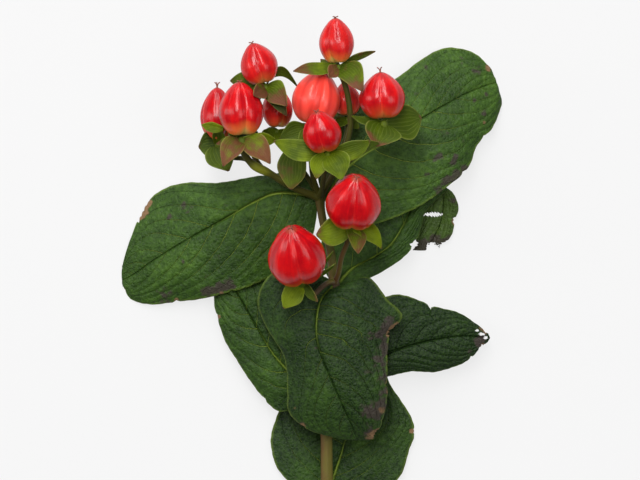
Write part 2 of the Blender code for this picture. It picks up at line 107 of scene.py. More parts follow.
bpy.context.scene.view_settings.view_transform = "Standard"

# The stem is one woody shoot, thicker at each pair of leaves, with the flower stalks that fork from it.
# Its cut end is pressed flat on the table. Bark runs along it in fine stripes, brown over yellow-green.
MM = 0.001
ORIGIN = np.array((-2.2, -21.2, 0.0))
RING_SIDES = 40
STALK_SIDES = 22
ROWS_PER_MM = 1.5
FORK_FLARE = 0.55
FORK_FLARE_REACH = 1.4
SWELLING = 0.3
SWELLING_PLACE = 17
SWELLING_REACH = 2.6
CUP_SIZE = 0.105
GAP = 0.35
# A stalk ends this share of the cup's radius under the cup's middle.
STALK_END = 0.8
EDGE_LINE = 0.09
EDGE_LINE_WIDTH = 0.3
# Ripples round the bark: depth, waves round, waves along.
RIPPLES = [(0.018, 3, 9), (0.012, 5, -23)]
# The sawn face is made of rings at these shares of the stem's radius.
CUT_SHARES = np.array((0.3, 0.6, 0.9, 0.97))
# The joints where leaves grow: height along the stem, and how far the dark ring reaches.
JOINTS = [(-12.2, 2.4), (-36.5, 2.4), (-66.5, 2.6)]
# The bark turns from yellow to green between these heights.
GREENING = (-13.5, 2)
STEM_YELLOW = (0.105, 0.09, 0.015)
STEM_GREEN = (0.045, 0.045, 0.004)
STEM_LIME = (0.2, 0.22, 0.015)
STEM_BROWN = (0.1, 0.04, 0.018)
STEM_NODE = (0.045, 0.02, 0.018)
STEM_RUDDY = 0.35
WOOD_PALE = (0.55, 0.47, 0.28)
WOOD_PITH = (0.4, 0.3, 0.15)
# A berry's grooves fade out by a share at its tip. Its sepals are (tip, width, roll, rise, sway).
Berry = collections.namedtuple("Berry", "base tip width spin sepals fade", defaults=[0.75])
BERRIES = [
    Berry((4.6, 44.2, 23.5), (3.8, 54.8, 24.5), 9, -30, [
        ((-6.6, 41.9, 26.4), 3.8, 30), ((2.2, 40.2, 27), 3.6, 0), ((10.6, 36.8, 28.6), 6.2, 0, 1.2, -0.6),
        ((13.8, 46.9, 21.6), 2.2, 40, 2.2), ((0.2, 45, 17.6), 3.4, 40)]),
    Berry((-13.9, 39.2, 22), (-16.8, 48.6, 23), 9.4, 15, [
        ((-22.4, 39.7, 18.4), 4.4, 0, 3), ((-16.4, 35.7, 30), 4.2, 0, -0.5),
        ((-8.2, 33.2, 25.4), 6, 0, 1), ((-5.4, 38, 15.4), 2.8, 25, 8), ((-8.2, 30.8, 23.6), 4.2, 0)]),
    Berry((-25.6, 25.2, 16), (-25.7, 37.8, 16), 8.8, 50, [
        ((-25, 28.2, 21.6), 3.2, 0, 1), ((-22.8, 17.2, 18), 8.2, 0, 0, 1.4),
        ((-30.3, 23.2, 16.8), 6.2, 5), ((-27.5, 21.5, 9.6), 3.4, 40), ((-21.2, 24, 12.6), 3, 30)]),
    Berry((-19.4, 26.2, 25.5), (-20, 38.9, 26.5), 11.4, 20, [
        ((-24, 18.2, 28.4), 5.8, 10, 1.6), ((-12.3, 18.9, 28.4), 6.2, -10, 1.6),
        ((-10.9, 24.8, 23.6), 4.2, 20), ((-25.8, 24, 21), 3.2, 40), ((-19.2, 28.6, 19.6), 7.4, 0)]),
    Berry((-10.8, 28.3, 14), (-10.8, 38, 14), 8, 30, [
        ((-14.8, 24.4, 16.8), 3.6, 10), ((-8.4, 23.6, 17.4), 3.4, 0), ((-14.4, 27.2, 10), 3, 50),
        ((-10.6, 24.4, 9.8), 3, 40), ((-6.6, 27.6, 10.4), 3, 50)]),
    Berry((-2.4, 29.2, 20), (0.6, 42, 20.6), 12.3, 2, [
        ((-10, 25, 21.4), 5.2, 0), ((-4.4, 21.4, 22.6), 4.2, 0), ((4.2, 25.6, 22), 4, 20),
        ((-6.4, 26.8, 15.2), 3.4, 40), ((1.8, 26.6, 15), 3.4, 40)]),
    Berry((1.6, 22.4, 31.3), (-0.8, 31.3, 35.8), 9.7, 3, [
        ((-11.4, 24.4, 30.2), 5.6, 12), ((-0.9, 15.1, 33.2), 4.8, 0, 0, 1.2),
        ((5.4, 14.8, 33.6), 7, 0, 0, -1.8), ((12.4, 24.6, 31.2), 4.8, 8, -2),
        ((14.8, 24, 28.2), 3.6, 20)]),
    Berry((15.8, 30.3, 24), (15, 41.4, 24), 11.5, 0, [
        ((13.8, 23.2, 27.6), 9.4, 0, 0, -1.2), ((25.2, 30.6, 18.2), 9.6, -12, -0.4),
        ((7.8, 30.8, 24), 2.8, 40), ((19.2, 29.6, 17), 3.8, 30), ((11.2, 29, 18.4), 3.2, 40)]),
    Berry((6.8, 31.3, 14), (6.3, 39.3, 14), 7.4, 30, [
        ((3.6, 28.2, 16.8), 2.8, 20), ((9.8, 27.8, 16.6), 2.8, 20), ((3.2, 30.2, 11.4), 2.8, 50),
        ((10.8, 30.4, 11.4), 2.8, 50), ((7.2, 27.6, 11.4), 2.8, 30)]),
    Berry((7.7, 4.6, 24), (9, 15.1, 34.4), 13.9, -2, [
        ((-0.9, 1.2, 24), 7, 0, -1.4), ((9.5, -3.4, 26), 4.4, 0, 0, -1.6),
        ((15.3, -2.2, 23.6), 4.4, 0, 2.5, -1.5), ((12.6, 3.4, 16.6), 4, 40),
        ((3.6, 3, 16.6), 4, 40)], fade=0.5),
    Berry((-4.8, -9.4, 22), (-7.1, 2.6, 32.8), 14.6, 12, [
        ((-9, -17, 22.6), 5.4, 0), ((-0.6, -15.4, 23.6), 2.6, 30), ((4, -5.6, 21.6), 3.2, 70),
        ((3.4, -2.6, 20), 3, 70), ((-8.6, -12.4, 15.6), 4, 40)], fade=0.1),
]
MAIN_STEM = [(2.6, -98, 1.36), (2.3, -90, 1.36), (2, -79, 2.45), (1.9, -70, 3.5), (1.8, -66, 3.9),
             (1.7, -62, 4.3), (1.6, -50, 5.7), (1.5, -39.5, 7.3), (1.5, -36.3, 7.8), (1.8, -32.5, 8.2),
             (2.8, -22, 9.4), (3.6, -14.6, 10.3), (3.5, -11.8, 10.6), (3.3, -8.6, 10.8),
             (2.6, -2.5, 11.2), (0.9, 4, 11.6), (0.2, 8, 11.9), (0, 10.6, 12.2), (0.2, 12.4, 13)]
MAIN_RADIUS = [1.55, 1.5, 1.5, 1.55, 1.85, 1.55, 1.45, 1.5, 1.75, 1.45, 1.35, 1.4, 1.55, 1.2, 1.05, 1.0,
               1.05, 1.35, 0.9]
# Each stalk has the number of the berry whose cup it runs up to, its route, its radius, and how
# red-brown it is. The first one swells at its own fork, where it is lime green.
STALKS = [
    (4, [(0, 10.6, 12.4), (-5, 12.4, 14.4), (-8.8, 14.3, 16.2), (-12.5, 16.6, 18.5), (-16.4, 18.6, 21),
         (-18.6, 21, 23)], 0.8, 0.55),
    (1, [(0, 10.8, 12.4), (2.4, 14.8, 15.6), (5.2, 20.4, 18), (7.4, 27, 19.6), (7.4, 32.5, 20.8),
         (6.4, 38, 22.2)], 0.7, 0.1),
    (2, [(-14.6, 17.7, 19.8), (-17, 22.5, 18.6), (-16.9, 30, 18), (-15.2, 35.6, 20)], 0.6, 0.5),
    (3, [(-16, 18.4, 20.6), (-18.6, 20.2, 16.8), (-22.4, 20.8, 14.8)], 0.55, 0.5),
    (5, [(-0.2, 11, 12.6), (-4, 17, 13.2), (-8.6, 22.6, 13.6)], 0.55, 0.2),
    (6, [(0, 10.8, 12.6), (-1.8, 16, 15.6), (-2.4, 22, 18.4)], 0.65, 0.05),
    (7, [(0, 10.8, 12.6), (0.6, 13.4, 19), (1.2, 17.6, 26.4)], 0.65, 0),
    (8, [(3.2, 16.4, 16.2), (8, 20.4, 19.4), (13.6, 24.8, 22)], 0.6, 0.3),
    (9, [(0.2, 11, 12.6), (3.6, 19, 13.2), (6.4, 25.6, 13.6)], 0.55, 0.2),
    (10, [(3.6, -10.8, 11), (4.6, -8.4, 14.4), (5.4, -4.2, 18.2), (6.8, -0.6, 21)], 0.65, 0.85),
    (11, [(3.3, -10.6, 11), (2.6, -10.4, 14.6), (0.6, -11.6, 17), (-1.8, -13.6, 18.4)], 0.65, 0.35),
]


def to_metres(points):
    """Layout millimetres as metres in the part's frame."""
    return (np.asarray(points, float) - ORIGIN) * MM


def spline(points, u):
    """The Catmull-Rom curve through points at each share u of its stretches, as the solids have it."""
    knots = np.array(points, float)
    knots = np.vstack([2 * knots[0] - knots[1], knots, 2 * knots[-1] - knots[-2]])
    place = np.asarray(u) * (len(points) - 1)
    stretch = np.clip(place.astype(int), 0, len(points) - 2)
    t = (place - stretch)[:, None]
    a, b, c, d = (knots[stretch + k] for k in range(4))
    bend = (2 * a - 5 * b + 4 * c - d) * t**2 + (3 * b - a - 3 * c + d) * t**3
    return 0.5 * (2 * b + (c - a) * t + bend)


def unit(vectors):
    """Vectors divided by their length."""
    vectors = np.asarray(vectors, float)
    return vectors / np.maximum(np.linalg.norm(vectors, axis=-1, keepdims=True), 1e-9)


def skin(rings, first, last, tones):
    """A closed part over rings of points: quads from ring to ring, and a fan from a point at each end.

    A tone has a value for every ring point, and an end point takes the mean of its ring.
    """
    rows, sides = rings.shape[:2]
    here = np.arange(rows * sides).reshape(rows, sides)
    after = np.roll(here, -1, axis=1)
    quads = np.stack([here[:-1], after[:-1], after[1:], here[1:]], axis=-1).reshape(-1, 4)
    ends = [np.stack([np.full(sides, rows * sides + k), here[row], after[row]], axis=-1)
            for k, row in enumerate((0, -1))]
    ends[0] = ends[0][:, ::-1]
    points = np.vstack([rings.reshape(-1, 3), first, last])
    values = {key: np.concatenate([tone.ravel(), [tone[0].mean(), tone[-1].mean()]])
              for key, tone in tones.items()}
    return points, [quads, *ends], values


def add_piece(name, parts, finish):
    """One object from closed parts, each of points, sets of faces and a value of each tone at each point.

    A third of the sum of a face's corner times its area vector is the part's volume: where that is
    negative the faces are turned round. Points that no face uses are left out.
    """
    points, corners, sizes, values = [], [], [], {}
    start = 0
    for part_points, faces, tones in parts:
        volume = sum(np.einsum("ij,ij->", part_points[f[:, 0]], np.cross(part_points[f[:, k]],
                     part_points[f[:, k + 1]])) for f in faces for k in range(1, f.shape[1] - 1))
        for face in faces:
            corners.append((face if volume > 0 else face[:, ::-1]).ravel() + start)
            sizes.append(np.full(len(face), face.shape[1]))
        points.append(part_points)
        for key, tone in tones.items():
            values.setdefault(key, []).append(tone)
        start += len(part_points)
    used, corners = np.unique(np.concatenate(corners), return_inverse=True)
    sizes = np.concatenate(sizes)
    mesh = bpy.data.meshes.new(name)
    mesh.vertices.add(len(used))
    mesh.vertices.foreach_set("co", to_metres(np.vstack(points)[used]).ravel())
    mesh.loops.add(len(corners))
    mesh.loops.foreach_set("vertex_index", corners.ravel())
    mesh.polygons.add(len(sizes))
    mesh.polygons.foreach_set("loop_start", np.cumsum(sizes) - sizes)
    for key, tone in values.items():
        mesh.attributes.new(key, "FLOAT", "POINT").data.foreach_set("value", np.concatenate(tone)[used])
    mesh.update(calc_edges=True)
    mesh.validate()
    mesh.shade_smooth()
    mesh.materials.append(finish.material)
    made = bpy.data.objects.new(name, mesh)
    link(made)
    return made


def operator(operation, swapped=False):
    """A method that joins its own value and another's by a Math node."""
    def method(self, other):
        return self.maths(operation, *((other, self) if swapped else (self, other)))
    return method


class Tone:
    """A shader socket in a sum: each operator adds its Math node."""

    def __init__(self, finish, socket):
        self.finish = finish
        self.socket = socket

    def maths(self, operation, *values):
        return self.finish.node("ShaderNodeMath", {"operation": operation}, dict(enumerate(values)))

    __add__ = operator("ADD")
    __radd__ = operator("ADD", swapped=True)
    __sub__ = operator("SUBTRACT")
    __rsub__ = operator("SUBTRACT", swapped=True)
    __mul__ = operator("MULTIPLY")
    __pow__ = operator("POWER")

    def __abs__(self):
        return self.maths("ABSOLUTE", self)

    def from_whole(self):
        """How far the value is from the nearest whole number, 0 to 0.5."""
        return self.maths("PINGPONG", self, 0.5)


class Finish:
    """A material that is being made: its Principled shader, and the nodes that feed it."""

    def __init__(self, name, **constants):
        self.material = bpy.data.materials.new(name)
        self.material.use_nodes = True
        self.tree = self.material.node_tree
        self.shader = self.tree.nodes["Principled BSDF"]
        for key, value in constants.items():
            self.shader.inputs[key.replace("_", " ")].default_value = value
        self.place = self.node("ShaderNodeTexCoord", out="Object")

    def node(self, kind, settings=None, inputs=None, out=0):
        """Adds any node, with its settings first, then the values or links of its sockets."""
        made = self.tree.nodes.new(kind)
        for key, value in (settings or {}).items():
            setattr(made, key, value)
        for key, value in (inputs or {}).items():
            self.feed(made.inputs[key], value)
        return Tone(self, made.outputs[out])

    def feed(self, socket, value):
        if isinstance(value, Tone):
            self.tree.links.new(value.socket, socket)
        else:
            socket.default_value = value

    def paint(self, socket, value):
        self.feed(self.shader.inputs[socket], value)

    def tone(self, name):
        return self.node("ShaderNodeAttribute", {"attribute_name": name}, out="Fac")

    def noise(self, scale, detail=2.0, stretch=(1, 1, 1)):
        """Noise from 0 to 1 on the piece's own metres, stretched by a scale for each axis."""
        place = self.node("ShaderNodeMapping", None, {"Vector": self.place, "Scale": stretch})
        return self.node("ShaderNodeTexNoise", None, {"Vector": place, "Scale": scale, "Detail": detail})

    def step(self, value, low, high):
        """A smooth rise from 0 at low to 1 at high."""
        return self.node("ShaderNodeMapRange", {"interpolation_type": "SMOOTHSTEP"},
                         {"Value": value, "From Min": low, "From Max": high})

    def mix(self, share, first, second):
        """Two colours mixed by a share from 0, all first, to 1, all second."""
        first, second = ((*c, 1) if isinstance(c, tuple) else c for c in (first, second))
        return self.node("ShaderNodeMix", {"data_type": "RGBA"}, {0: share, 6: first, 7: second}, 2)

    def bump(self, height, depth):
        """Relief from a height in shares of depth, which is in metres."""
        self.paint("Normal", self.node("ShaderNodeBump", None, {"Height": height, "Distance": depth}))


def berry_axis(berry):
    return unit(np.subtract(berry.tip, berry.base))


def cup_radius(berry):
    return CUP_SIZE * berry.width


def cup_centre(berry):
    """The middle of the small cup under a berry, which carries the sepals."""
    return np.array(berry.base) - berry_axis(berry) * (cup_radius(berry) + GAP)


def stalk(route, radii, sides, ripple_seed):
    """Rings square to a smooth curve through a route, their middles, and the tones of the bark.

    The radii are spread evenly along the curve. Two raised lines run along it, and its bark ripples by
    sines that turn as they go on.
    """
    route = np.array(route, float)
    length = np.linalg.norm(np.diff(route, axis=0), axis=1).sum()
    rows = int(length * ROWS_PER_MM) + 6
    u = np.linspace(0, 1, rows)
    line = spline(route, u)
    ahead = unit(np.gradient(line, axis=0))
    shortest = np.argmin(np.abs(route[-1] - route[0]))
    side = unit(np.cross(ahead, np.eye(3)[shortest]))
    up = np.cross(side, ahead)
    phi = np.linspace(0, 2 * math.pi, sides, endpoint=False)
    radius = np.interp(u, np.linspace(0, 1, len(radii)), radii)[:, None]
    lines = EDGE_LINE * np.exp(-((np.abs(np.sin(phi)) / EDGE_LINE_WIDTH) ** 2))
    ripple = sum(depth * np.sin(across * phi + along * u[:, None] + seed)
                 for (depth, across, along), seed in zip(RIPPLES, (ripple_seed, 0)))
    wide = radius * (1 + lines + ripple)
    rings = line[:, None] + wide[..., None] * (np.cos(phi)[:, None] * side[:, None]
                                                + np.sin(phi)[:, None] * up[:, None])
    level = np.ones_like(wide)
    tones = {"along": (u * length)[:, None] * level, "around": np.sin(phi) * level,
             "height": line[:, 1:2] * level, "ruddy": STEM_RUDDY * level, "lime": 0 * level,
             "cut": 0 * level}
    return rings, line, tones


stem_parts = []
rings, line, tones = stalk(MAIN_STEM, MAIN_RADIUS, RING_SIDES, 0.4)
cuts = len(CUT_SHARES)
rings = np.vstack([line[0] + (rings[0] - line[0]) * CUT_SHARES[:, None, None], rings])
rings[..., 2] = np.maximum(rings[..., 2], 0)
tones = {key: np.vstack([np.repeat(tone[:1], cuts, axis=0), tone]) for key, tone in tones.items()}
tones["cut"][:cuts] = 2 - CUT_SHARES[:, None]
stem_parts.append(skin(rings, line[0], line[-1], tones))
for number, (berry_number, route, radius, ruddy) in enumerate(STALKS):
    berry = BERRIES[berry_number - 1]
    route = [*route, cup_centre(berry) - berry_axis(berry) * cup_radius(berry) * STALK_END]
    rings, line, tones = stalk(route, [radius] * len(route), STALK_SIDES, number)
    flare = 1 + FORK_FLARE * np.exp(-tones["along"] / FORK_FLARE_REACH)
    tones["ruddy"] = np.full(flare.shape, ruddy)
    if number == 0:
        tones["lime"] = np.exp(-(((tones["along"] - SWELLING_PLACE) / SWELLING_REACH) ** 4))
        flare = flare * (1 + SWELLING * tones["lime"])
    rings = line[:, None] + (rings - line[:, None]) * flare[..., None]
    stem_parts.append(skin(rings, line[0], line[-1], tones))

bark = Finish("stem_bark", Specular_IOR_Level=0.2)
stripes = bark.noise(500, 3, (1, 0.12, 1))
patches = bark.noise(120, 2)
height = bark.tone("height")
high = bark.step(height, *GREENING)
brown = bark.step(patches * 0.5 + stripes * 0.5 + bark.tone("ruddy") * 0.5 - bark.tone("around") * 0.22,
                  0.62, 1.1)
green = bark.mix(high, STEM_YELLOW, STEM_GREEN)
colour = bark.mix(brown * (0.9 - high * 0.35), green, STEM_BROWN)
colour = bark.mix(bark.tone("lime") * 0.85, colour, STEM_LIME)
joint = sum(1 - bark.step(abs(height - place), 0.6, reach) for place, reach in JOINTS)
colour = bark.mix(bark.step(joint, 0.1, 1.0) * 0.8, colour, STEM_NODE)
cut = bark.tone("cut")
wood = bark.mix(bark.step(cut, 1.55, 1.7), WOOD_PALE, WOOD_PITH)
colour = bark.mix(bark.step(cut, 1.02, 1.06), colour, wood)
bark.paint("Base Color", colour)
bark.paint("Roughness", 0.42 + patches * 0.25)
bark.bump(stripes * 0.7 + patches * 0.3, 0.00025)
stem = add_piece("stem_shoot", stem_parts, bark)
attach(stem, "root")
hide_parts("stem")

# The leaves grow in crossed pairs straight from the stem: leathery dark blades with a pale midrib and
# side veins that bend towards the tip. Old ones have brown spots, scorched edges and small tears.
LEAF_ROWS = 170
LEAF_COLUMNS = 90
LEAF_HALF = 0.21
LEAF_EDGE = 0.45
LEAF_ROOT = 1.3
LEAF_ROOT_WIDTH = 0.55
VEIN_LEAN = 0.24
VEIN_BEND = 0.3
VEIN_JITTER = 0.015
PILLOW = 0.27
PILLOW_ROUNDNESS = 0.8
MIDRIB_GROOVE = 0.3
MIDRIB_GROOVE_REACH = 0.8
MIDRIB_KEEL = 0.5
MIDRIB_KEEL_REACH = 0.7
MARGIN_WAVE = 0.3
# The margin is rough by sines: height and waves along it. It is smooth where the blade is narrow.
MARGIN_ROUGHNESS = [(0.07, 41), (0.03, 97), (0.03, 173)]
NARROW = 3
# A tear pulls the margin in by no more than a share of the half width, and has fine teeth.
TEAR_LIMIT = 0.8
TEAR_TEETH = 0.35
TEAR_TEETH_WAVES = 330
# Holes are only in the outer part of a blade, from this share of its length.
HOLES_FROM = 0.55
LEAF_DARK = (0.004, 0.0155, 0.0015)
LEAF_MID = (0.03, 0.072, 0.007)
LEAF_LIGHT = (0.07, 0.14, 0.015)
LEAF_VEIN = (0.2, 0.28, 0.035)
LEAF_UNDER = (0.035, 0.06, 0.012)
LEAF_SPOT = (0.038, 0.027, 0.024)
LEAF_SCORCH = (0.17, 0.1, 0.05)
# A leaf has its left margin, midrib and right margin, tears (x, y, reach, depth) that pull the margin
# in, brown spots and scorched places (x, y, reach, strength), holes (x, y, half length, half width), how
# far its halves bulge, and how young and light it is.
LEAVES = {}
LEAVES["leaf_left"] = dict(
    left=[(-1.2, 13, 11.6), (-5.5, 17.2, 10.6), (-13, 16.3, 9.2), (-19.5, 15.4, 8), (-26, 14.3, 6.6),
        (-33, 14.5, 3.5), (-40, 12.6, 0.2), (-44.4, 8.5, 0.2), (-47.6, 1, 0.8), (-50, -6.5, 0.4)],
    midrib=[(-2, 10.6, 10.9), (-6.5, 11.6, 10.9), (-11.5, 11.6, 10.7), (-17, 9.3, 10), (-23, 5.8, 9),
        (-29, 2.5, 7.7), (-35.5, -1.2, 6), (-42, -5.2, 3.8), (-46.5, -8.4, 1.8), (-50, -10.2, 0.2)],
    right=[(-0.4, 9.4, 10.8), (-1.7, 1.7, 9.6), (-5, -5.5, 8.6), (-12, -9.2, 8), (-19.5, -12.2, 7),
        (-27, -14.2, 5.5), (-34.5, -15.4, 3.8), (-42, -16.2, 1.6), (-47.2, -15.3, 0.2),
        (-49.8, -12.3, 0)],
    tears=[(-44.8, 7.5, 1.7, 0.9), (-45.9, 5.6, 0.8, 0.9), (-43.1, 9.3, 0.8, 0.6),
        (-49.4, -12.6, 0.7, 0.7), (-36.2, -15.3, 0.45, 0.9), (-50.2, -5.6, 0.8, 0.3),
        (-22, -13.2, 0.9, 0.4)],
    spots=[(-28.6, -12.7, 1.7, 0.9), (-25.5, -12, 2, 1), (-22.5, -11.2, 1.6, 0.8), (-37.8, 5.8, 0.9, 0.9),
        (-35, 9.2, 1.5, 0.55), (-40.5, 7, 0.9, 0.7), (-25.5, -4.2, 0.9, 0.8), (-34.5, -5.7, 1, 0.6),
        (-39, -14.2, 2.6, 0.6), (-29, -9, 1.2, 0.4), (-33, 7.5, 1.6, 0.4), (-24, 9, 0.7, 0.5)],
    scorch=[(-44.9, 6.6, 1.8, 1), (-43.2, 9.4, 1.1, 0.8), (-24.5, -13.6, 1.6, 0.7),
        (-36.2, -15, 0.9, 0.8), (-31, -14.8, 1.4, 0.5), (-49.3, -12.6, 0.9, 0.5)],
    bulge=0.8, youth=0.24)
LEAVES["leaf_right"] = dict(
    left=[(0.2, 12, 10.9), (-0.6, 20, 9.4), (3.5, 31, 7.4), (11, 35.8, 6.4), (18.5, 40.2, 5.2),
        (25.5, 45.4, 3), (32, 48.6, 0.3), (38.8, 47.3, 0), (42.6, 44, 0), (44, 41.4, 0.2)],
    midrib=[(2.1, 10.8, 10.7), (5, 16, 10.6), (9.5, 20.3, 10.2), (15, 23.8, 9.7), (20.5, 27.2, 9),
        (26, 30.7, 8), (31.5, 34, 6.6), (37, 37, 4.6), (42, 39, 2), (44.5, 39.8, 0.8)],
    right=[(2, 9.8, 10.6), (4, 5.4, 10), (12.5, 4, 9.6), (21, 6.5, 9.2), (28.5, 10.8, 8.2),
        (36.6, 17.4, 6.5), (39.6, 23.8, 4.8), (43.6, 28.6, 3), (45.8, 34.2, 1.2), (45.2, 37.8, 0.6)],
    tears=[(43.6, 40.6, 0.8, 0.7), (36.5, 16.8, 0.8, 0.4), (41.6, 26.2, 0.9, 0.3)],
    spots=[(31.6, 15, 1.6, 0.8), (34.4, 16, 1.9, 1), (36.4, 18.2, 1.3, 0.9), (31.7, 27, 1, 0.7),
        (28.7, 20, 1, 0.7), (34, 21.2, 1, 0.7), (38.7, 35, 0.9, 0.7), (26.5, 43.4, 1, 0.7),
        (24, 37, 0.8, 0.6), (41, 32, 1.1, 0.6), (36, 45, 1.2, 0.6), (30, 12.4, 1.6, 0.7),
        (30, 21, 1.2, 0.7), (33.4, 19.4, 1.2, 0.7), (36, 24, 1, 0.6), (20.5, 33, 1, 0.5),
        (39.6, 42.6, 1.3, 0.7), (41.6, 36.6, 1, 0.6), (27, 16.5, 1.1, 0.6), (22, 36, 1.2, 0.4)],
    scorch=[(26.8, 43.4, 0.8, 0.5), (38.7, 31.7, 0.8, 0.6), (41.2, 29.5, 0.9, 0.7),
        (36.2, 43.2, 0.7, 0.5), (42.4, 43.4, 1.3, 0.9), (43.6, 40.4, 1, 0.9), (36.8, 17, 0.9, 0.6)],
    bulge=0.8, youth=0.3)
LEAVES["leaf_front"] = dict(
    left=[(0.2, -8.8, 12.4), (-5.5, -7.4, 13.4), (-12.4, -8.8, 13.4), (-15.6, -14.6, 12.6),
        (-13.6, -21.5, 12.2), (-8.9, -29.5, 12.6), (-8.2, -38, 12.6), (-7.6, -43.5, 12.2),
        (-2.6, -47.6, 11.4), (5.4, -50, 10.4)],
    midrib=[(2.4, -12.6, 12.9), (0.6, -14.6, 14.2), (-0.4, -17.4, 15.2), (-0.9, -21, 16),
        (-0.6, -25.6, 16.4), (1.2, -31, 16.4), (3.6, -36.6, 15.8), (5.8, -41.6, 14.6), (8, -46.5, 12.8),
        (9.4, -50.1, 10.6)],
    right=[(3, -12.3, 12.9), (7, -10.6, 14), (12.4, -9.6, 14.4), (17.2, -15.2, 14.2), (20.6, -19.3, 13.6),
        (17.2, -25, 13.8), (16.9, -33, 13.6), (16.7, -40.4, 12.8), (15.4, -46.4, 11.6),
        (13.4, -49.9, 10.4)],
    tears=[(18.9, -22.3, 1.8, 1.9), (16.7, -36, 0.8, 0.5), (15.2, -45.2, 0.8, 0.6), (-4.6, -47, 0.8, 0.4),
        (14.2, -48, 1.2, 0.8)],
    spots=[(17, -20.6, 1.9, 0.8), (15.6, -23.4, 2, 0.8), (16, -27, 1.8, 0.8), (15, -30.4, 2.2, 0.8),
        (15.8, -34.4, 1.9, 0.8), (12.4, -24, 1.4, 0.5), (12, -33, 1.4, 0.4), (16, -38, 1.4, 0.7),
        (11.4, -42.6, 1.9, 0.8), (14, -43.4, 1.9, 0.9), (15.4, -41, 1.5, 0.9), (12.6, -48, 2, 0.7),
        (-1, -27, 1, 0.5), (-4.6, -45.8, 1.2, 0.6)],
    scorch=[(17.2, -23.6, 0.9, 1), (17.5, -25.6, 0.8, 0.8), (17.6, -27.6, 0.9, 0.9), (17.4, -30.6, 1, 1),
        (17.4, -33, 0.8, 0.9), (17.3, -35, 0.9, 0.9), (17.2, -38, 0.9, 0.8), (-4.4, -46.6, 1.3, 0.8),
        (-6.3, -42, 0.8, 0.7), (15.4, -42.6, 1.4, 0.8), (13.6, -48.6, 1.8, 0.8), (11, -49.6, 1.6, 0.7)],
    bulge=0.9, youth=-0.2)
LEAVES["leaf_back"] = dict(
    left=[(2.9, -11.3, 7.6), (0.6, -5.5, 6.8), (0.8, 1.2, 6.2), (5, 7.4, 6), (11.2, 11.6, 5.8),
        (17.4, 14.6, 5.8), (23.6, 17.4, 5.2), (26.4, 15, 2.4), (26.2, 8, 1), (24.2, 1.2, 0.5),
        (23.4, -2.6, 0.3)],
    midrib=[(3.9, -11.6, 7.8), (8, -7.2, 6.9), (13, -4.6, 6.3), (17.6, -1.4, 6), (20.8, 3.4, 5.9),
        (23.6, 9, 5.9), (28.4, 14.6, 5), (31, 11.4, 2.4), (30.6, 5, 1.2), (28.6, 0.4, 0.7),
        (26.6, -2.6, 0.3)],
    right=[(4.9, -12.1, 7.8), (12.6, -9.6, 6.6), (19.6, -5.4, 5.8), (23.4, -1.8, 5.4), (25.4, 3.2, 5.4),
        (27, 7.8, 5.2), (32.4, 12.4, 4.2), (34.8, 8.8, 2.4), (34.1, 4.2, 1.6), (32.4, -0.2, 1.1),
        (29.6, -2.4, 0.6)],
    tears=[(34.4, 5, 0.9, 0.8), (24, -1, 1, 1), (32, -1.5, 1.2, 1.4)],
    spots=[(29, -1, 2.4, 1), (25, -1.6, 2, 1), (33, 0, 1.8, 1), (33.5, 10, 1.6, 0.7)],
    scorch=[(28, -2.2, 1.6, 0.5), (33.8, 4.6, 1.1, 0.8)],
    holes=[(28.6, 6.7, 2.6, 0.5), (28.4, -2, 1.6, 1.6)],
    bulge=0.4, youth=0.2)
LEAVES["leaf_low_left"] = dict(
    left=[(-0.4, -37.1, 7), (-9.3, -43.2, 6.2), (-15, -38.8, 5.2), (-19.8, -32, 4.4), (-24, -25, 3.8),
        (-26.6, -16, 3.2), (-25.8, -7.2, 3)],
    midrib=[(-0.5, -36.3, 7.4), (-6, -34.5, 7.8), (-11.5, -29, 7.4), (-15.5, -22.5, 6.6),
        (-19, -16.5, 5.6), (-22.3, -11, 4.6), (-25.2, -6.2, 3.4)],
    right=[(-0.3, -35.4, 7.4), (-1.4, -27, 7.2), (-4, -19.5, 6.8), (-8.5, -13.5, 6), (-13.5, -9, 5.2),
        (-19, -6.3, 4.2), (-24.2, -5.5, 3.2)],
    tears=[(-25.4, -19.2, 0.8, 0.6), (-14, -40, 0.6, 0.4)],
    spots=[(-22, -20, 0.9, 0.4), (-14, -28, 0.8, 0.3)],
    scorch=[(-25.4, -19.2, 0.7, 0.6)],
    bulge=0.6, youth=0.08)
LEAVES["leaf_low_right"] = dict(
    left=[(3.2, -35.4, 7.4), (6.6, -24.5, 7.4), (13, -16.5, 7.4), (19.8, -13.7, 7.2), (27.5, -16.3, 6.6),
        (35.6, -18.7, 5.6), (42.3, -23.4, 5.4)],
    midrib=[(3.6, -36.3, 7.4), (9.5, -32, 8), (16.5, -28.7, 8), (23, -26.5, 7.6), (29.5, -25, 7),
        (36, -24.2, 6.2), (42.8, -24.6, 5)],
    right=[(3.2, -37.2, 7.1), (8, -37.4, 7.4), (15, -35, 7.2), (22, -33.2, 6.6), (30, -33, 5.8),
        (37, -30.4, 5), (42, -25.8, 4.6)],
    tears=[(27.7, -16.2, 0.6, 1.1), (40.6, -27.4, 1.1, 0.9), (41.8, -22.6, 0.7, 0.8),
        (38, -29.8, 0.5, 0.4)],
    spots=[(30, -20, 0.8, 0.4), (38, -28, 1.2, 0.5), (39.8, -26.2, 1.3, 0.9), (40.8, -24.6, 1.2, 0.9)],
    scorch=[(41, -23.6, 1.1, 0.9), (27.7, -16.6, 0.6, 0.6), (41.2, -26.4, 0.9, 0.8),
        (40, -22.4, 0.8, 0.6)],
    holes=[(40.6, -23.6, 0.9, 0.45), (39.4, -22.7, 0.6, 0.3), (41.6, -24.6, 0.5, 0.5)],
    bulge=0.6, youth=-0.7)
